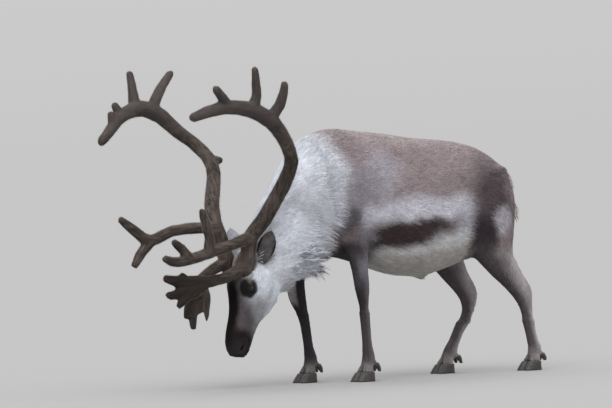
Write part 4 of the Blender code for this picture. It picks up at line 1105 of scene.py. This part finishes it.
skin_forward, skin_up, _ = head_parts(skin_points)
throat = within(skin_regions, "neck") * soft(0.1, -0.45, skin_normals[:, 2])
throat = throat * soft(-0.03, -0.08, skin_points[:, 0] - SHIFT[0])
long_hair("mane_throat", throat, 34000, 0.055, 0.0017, 0.04, 0.1, (0.0, 0.0, -0.2))
jaw = within(skin_regions, "head") * soft(-0.1, -0.15, skin_up)
jaw = jaw * soft(0.26, 0.2, skin_forward) * soft(0.06, 0.1, skin_forward)
long_hair("mane_jaw", jaw, 34000, 0.024, 0.0012, 0.06, 0.06, (0.0, 0.0, -0.1))
long_hair("hair_tail", within(skin_regions, "tail"), 60000, 0.055, 0.0016, 0.08, 0.08, (0.0, 0.0, -0.4))


# Antlers

ANTLER_VOXEL = 0.004
ANTLER_TONE = (0.064, 0.051, 0.044)
# Paler tone at the top of the antlers: partly the velvet's own tone and partly painted rim light
PALM_LIGHT_TONE = (0.07, 0.06, 0.06)
# Painted shade for the shovel, which lies in shadow
SHOVEL_SHADE_TONE = (0.02, 0.016, 0.014)
STREAK_HEIGHT = 0.0005
LUMP_HEIGHT = 0.0012
LUMP_SIZE = 0.03
LINE_ROUNDS = 40
STREAK_ROUNDS = 12
# Pale fuzz tips: partly the velvet hairs' own tone and partly painted rim light from behind
FUZZ_TIP_TONE_WITH_RIM_LIGHT = (0.48, 0.44, 0.42)
FUZZ_DENSITY = 55000
# The lower branches of each antler in the head's frame: back, up, out to the side, radius
LOWER_BRANCHES = {
    "left": (
        ((-0.01, -0.008, 0.053, 0.034), (0.068, -0.003, 0.062, 0.033), (0.126, 0.003, 0.075, 0.033),
         (0.207, -0.032, 0.11, 0.034)),
        ((0.014, -0.004, 0.055, 0.028), (-0.024, 0.048, 0.055, 0.024), (-0.055, 0.095, 0.05, 0.022)),
        ((0.122, 0.0, 0.076, 0.03), (0.11, 0.05, 0.09, 0.026), (0.076, 0.127, 0.105, 0.024)),
    ),
    "right": (
        ((-0.01, -0.006, 0.053, 0.034), (0.064, 0.03, 0.062, 0.033), (0.122, 0.048, 0.075, 0.033),
         (0.197, 0.066, 0.11, 0.034)),
        ((0.028, 0.01, 0.055, 0.028), (-0.01, 0.07, 0.06, 0.024), (-0.045, 0.115, 0.062, 0.022)),
        ((0.122, 0.04, 0.073, 0.03), (0.148, 0.085, 0.082, 0.027), (0.155, 0.135, 0.1, 0.025)),
    ),
}
STUB_STEP = 0.006


def lower_branches(side):
    """The lower branches as arrays of places and radii, on the side asked for."""
    flip = np.array((1.0, 1.0, SIGNS[side], 1.0))
    return [np.array(branch) * flip for branch in LOWER_BRANCHES[side]]


def add_stubs(shape, side):
    """Fill each lower branch out with balls, so that it reaches into the head."""
    for branch in lower_branches(side)[:2]:
        for start, end in zip(branch[:2], branch[1:3]):
            count = int(np.linalg.norm(end[:3] - start[:3]) / STUB_STEP) + 1
            for share in np.linspace(0.0, 1.0, count, endpoint=False):
                spot = start + share * (end - start)
                place = Matrix.Translation(from_head(spot[:3]).tolist())
                bmesh.ops.create_icosphere(shape, subdivisions=3, radius=spot[3], matrix=place)


def round_base(points, side):
    """Draw the flesh that the base holds in to the round of its branches."""
    part = to_head(points)
    gap = np.full(len(part), AWAY)
    away = np.zeros_like(part)
    for branch in lower_branches(side):
        for start, end in zip(branch, branch[1:]):
            line = end[:3] - start[:3]
            share = np.clip((part - start[:3]) @ line / (line @ line), 0.0, 1.0)
            offset = part - start[:3] - share[:, None] * line
            reach = np.linalg.norm(offset, axis=1)
            beyond = reach - start[3] - share * (end[3] - start[3])
            nearer = beyond < gap
            gap = np.where(nearer, beyond, gap)
            away[nearer] = (offset / np.maximum(reach, 1e-6)[:, None])[nearer]
    inner = soft(0.095, 0.075, part[:, 1]) * soft(0.15, 0.115, part[:, 0])
    return from_head(part - (inner * np.maximum(gap, 0.0))[:, None] * away)


def branch_lines(normals, edges):
    """The line of the branch at each point, which is square to all the normals round it."""
    pairs = (normals[:, :, None] * normals[:, None]).reshape(-1, 9)
    matrices = spread(pairs, edges, LINE_ROUNDS).reshape(-1, 3, 3)
    return np.linalg.eigh(matrices)[1][:, :, 0]


def streaks(points, edges, lines):
    """Random values drawn out along the lines."""
    first, second = edges.T
    along = unit(points[second] - points[first])
    weight = np.abs(np.sum(along * lines[first], axis=1)) ** 6 + 0.01
    values = spread(rng.standard_normal((len(points), 1)), edges, STREAK_ROUNDS, weight, 0.0)[:, 0]
    return np.clip(values / values.std(), -2.0, 2.0)


def antler_tones(points, streak):
    """Velvet that is streaked, paler at the top partly as painted rim light, and darker on the shovel as
    painted shade.
    """
    uneven = 1.0 + 0.4 * clouds(points, 0.07, 9) + 0.42 * streak
    tone = np.array(ANTLER_TONE) * np.maximum(uneven, 0.3)[:, None]
    tone = blend(tone, 0.6 * soft(1.02, 1.15, points[:, 2]), PALM_LIGHT_TONE)
    part = to_head(points)
    # The shovel is darkened as painted shade
    shovel = soft(0.12, 0.2, part[:, 1]) * soft(-0.02, -0.07, part[:, 0])
    return blend(tone, 0.75 * shovel, SHOVEL_SHADE_TONE)


def add_fuzz(side, mesh, lines, tone):
    """Short hairs that stand off the velvet and lean along the branches, away from the head; their pale tips
    are partly the hair's own tone and partly painted rim light.
    """
    roots = Roots(mesh, np.full(len(tone), FUZZ_DENSITY))
    count = roots.count
    outward = roots.carry(lines)
    middle = from_head(np.zeros(3))
    outward = unit(outward * np.sign(np.sum(outward * (roots.points - middle), axis=1, keepdims=True)))
    tufts = roots.tufts(
        lies=unit(outward + 0.35 * rng.standard_normal((count, 3))),
        lengths=rng.uniform(0.0022, 0.0042, count),
        widths=rng.uniform(0.0002, 0.00034, count),
        lifts=rng.uniform(0.7, 1.6, count),
        droops=np.zeros(count),
        gathers=np.zeros((count, 3)),
    )
    shade = rng.normal(1.0, 0.12, count)[:, None]
    tufts["base"] = roots.carry(tone) * shade
    tufts["tips"] = np.array(FUZZ_TIP_TONE_WITH_RIM_LIGHT) * shade
    grow("fuzz_antler_" + side, tufts, SHORT_RINGS, velvet_material, "velvet")


def make_antler(side):
    """One velvet surface for all the nodes of an antler."""
    members = sorted(name for name in nodes if name.startswith("antler_" + side))
    shape = gathered(members)
    add_stubs(shape, side)
    item = fused("velvet_antler_" + side, shape, ANTLER_VOXEL)
    smooth(item, 5)
    write_points(item.data, round_base(read_points(item.data), side))
    smooth(item, 3)
    mesh = item.data
    points = read_points(mesh)
    normals = read_normals(mesh)
    edges = read_edges(mesh)
    lines = branch_lines(normals, edges)
    streak = streaks(points, edges, lines)
    relief = STREAK_HEIGHT * streak + LUMP_HEIGHT * clouds(points, LUMP_SIZE, 11)
    write_points(mesh, points + relief[:, None] * normals)
    tone = antler_tones(points, streak)
    dress(item, np.clip(tone, 0.012, 0.9), velvet_material, "velvet", *members)
    unwrap(item)
    add_fuzz(side, mesh, lines, tone)


for antler_side in SIGNS:
    make_antler(antler_side)


# Eyes

EYE_RINGS = 28
EYE_STEPS = 40
CORNEA_ANGLE = math.radians(40.0)
CORNEA_HEIGHT = 0.0012
IRIS_ANGLE = math.radians(38.0)
PUPIL_LONG = 0.0062
PUPIL_TALL = 0.0032
WHITE_TONE = (0.03, 0.02, 0.017)
IRIS_TONE = (0.007, 0.004, 0.003)
PUPIL_TONE = (0.003, 0.003, 0.004)


def make_eye(side):
    """An eyeball with a raised cornea, a brown iris and a level pupil."""
    middle, axes = eye_frame(side)
    shape = bmesh.new()
    bmesh.ops.create_uvsphere(shape, u_segments=EYE_STEPS, v_segments=EYE_RINGS, radius=1.0)
    mesh = new_mesh("eyeball_" + side, shape)
    ball = read_points(mesh)
    angle = np.arccos(np.clip(ball[:, 2], -1.0, 1.0))
    bulge = CORNEA_HEIGHT * np.cos(0.5 * math.pi * np.minimum(angle / CORNEA_ANGLE, 1.0)) ** 2
    part = ball * (EYE_RADIUS - CORNEA_HEIGHT + bulge)[:, None]
    write_points(mesh, middle + part @ axes)
    if np.linalg.det(axes) < 0.0:
        mesh.flip_normals()
    tone = blend(WHITE_TONE, soft(IRIS_ANGLE + 0.05, IRIS_ANGLE - 0.02, angle), IRIS_TONE)
    pupil = np.hypot(part[:, 0] / PUPIL_LONG, part[:, 1] / PUPIL_TALL) + AWAY * (part[:, 2] < 0.0)
    tone = blend(tone, soft(1.15, 0.85, pupil), PUPIL_TONE)
    dress(new_object("eyeball_" + side, mesh), tone, eye_material, "eye", "eye_" + side)


for eye_side in SIGNS:
    make_eye(eye_side)


# Hooves and dewclaws

HOOF_VOXEL = 0.002
HOOF_ROUNDS = 6
HOOF_RIDGES = 700.0
HOOF_RIDGE = 0.00025
HOOF_TONE = (0.032, 0.027, 0.025)
HOOF_TOP = (0.034, 0.042)
HOOF_TOP_TONE = (0.066, 0.056, 0.05)


def make_hoof(name):
    """A hoof or dewclaw with its edges eased and fine rings of growth."""
    item = fused("horn_" + name, gathered([name]), HOOF_VOXEL)
    smooth(item, HOOF_ROUNDS)
    mesh = item.data
    points = read_points(mesh)
    normals = read_normals(mesh)
    wave = np.sin(HOOF_RIDGES * points[:, 2] + 3.0 * clouds(points, 0.02, 12))
    upright = 1.0 - np.abs(normals[:, 2])
    write_points(mesh, points + (HOOF_RIDGE * wave * upright)[:, None] * normals)
    tone = np.array(HOOF_TONE) * (1.0 + 0.25 * clouds(points, 0.012, 13) + 0.1 * wave)[:, None]
    if name.startswith("hoof"):
        tone = blend(tone, 0.6 * soft(*HOOF_TOP, points[:, 2]), HOOF_TOP_TONE)
    dress(item, tone, horn_material, "horn", name)


for horn_name in sorted(name for name in nodes if name.split("_")[0] in ("hoof", "dewclaw")):
    make_hoof(horn_name)


# Studio

FLOOR_RADIUS = 300.0
FLOOR_TONE = 0.335
SKY_LOW = 0.57
SKY_HIGH = 1.55
# Soft suns: name, direction that they come from, strength, width in degrees
SUNS = (
    ("key", (-0.55, -0.75, 1.1), 1.5, 50.0),
    ("rim", (0.5, 0.7, 1.0), 0.45, 40.0),
)


def make_floor():
    """A pale, matt floor that reaches far past the animal."""
    shape = bmesh.new()
    bmesh.ops.create_circle(shape, cap_ends=True, radius=FLOOR_RADIUS, segments=96)
    tone = (FLOOR_TONE, FLOOR_TONE, FLOOR_TONE, 1.0)
    material, _ = new_material("floor", {"Roughness": 0.95, "Specular IOR Level": 0.0, "Base Color": tone})
    mesh = new_mesh("floor", shape)
    mesh.materials.append(material)
    new_object("floor", mesh)


def make_lights():
    """A pale sky, lighter overhead, and two soft suns."""
    world = bpy.data.worlds.new("studio")
    bpy.context.scene.world = world
    world.use_nodes = True
    tree = world.node_tree
    background = tree.nodes["Background"]
    place, split, level = new_nodes(tree, "TexCoord", "SeparateXYZ", "MapRange")
    set_inputs(background, {"Color": (1.0, 1.0, 1.0, 1.0)})
    set_inputs(level, {"To Min": SKY_LOW, "To Max": SKY_HIGH})
    join(tree, (
        (place, "Generated", split, "Vector"),
        (split, "Z", level, "Value"),
        (level, "Result", background, "Strength"),
    ))
    for name, toward, strength, width in SUNS:
        data = bpy.data.lights.new(name, "SUN")
        data.energy = strength
        data.angle = math.radians(width)
        item = new_object(name, data)
        item.rotation_euler = Vector(toward).to_track_quat("Z", "Y").to_euler()
    bpy.context.scene.view_settings.view_transform = "Standard"


make_floor()
make_lights()
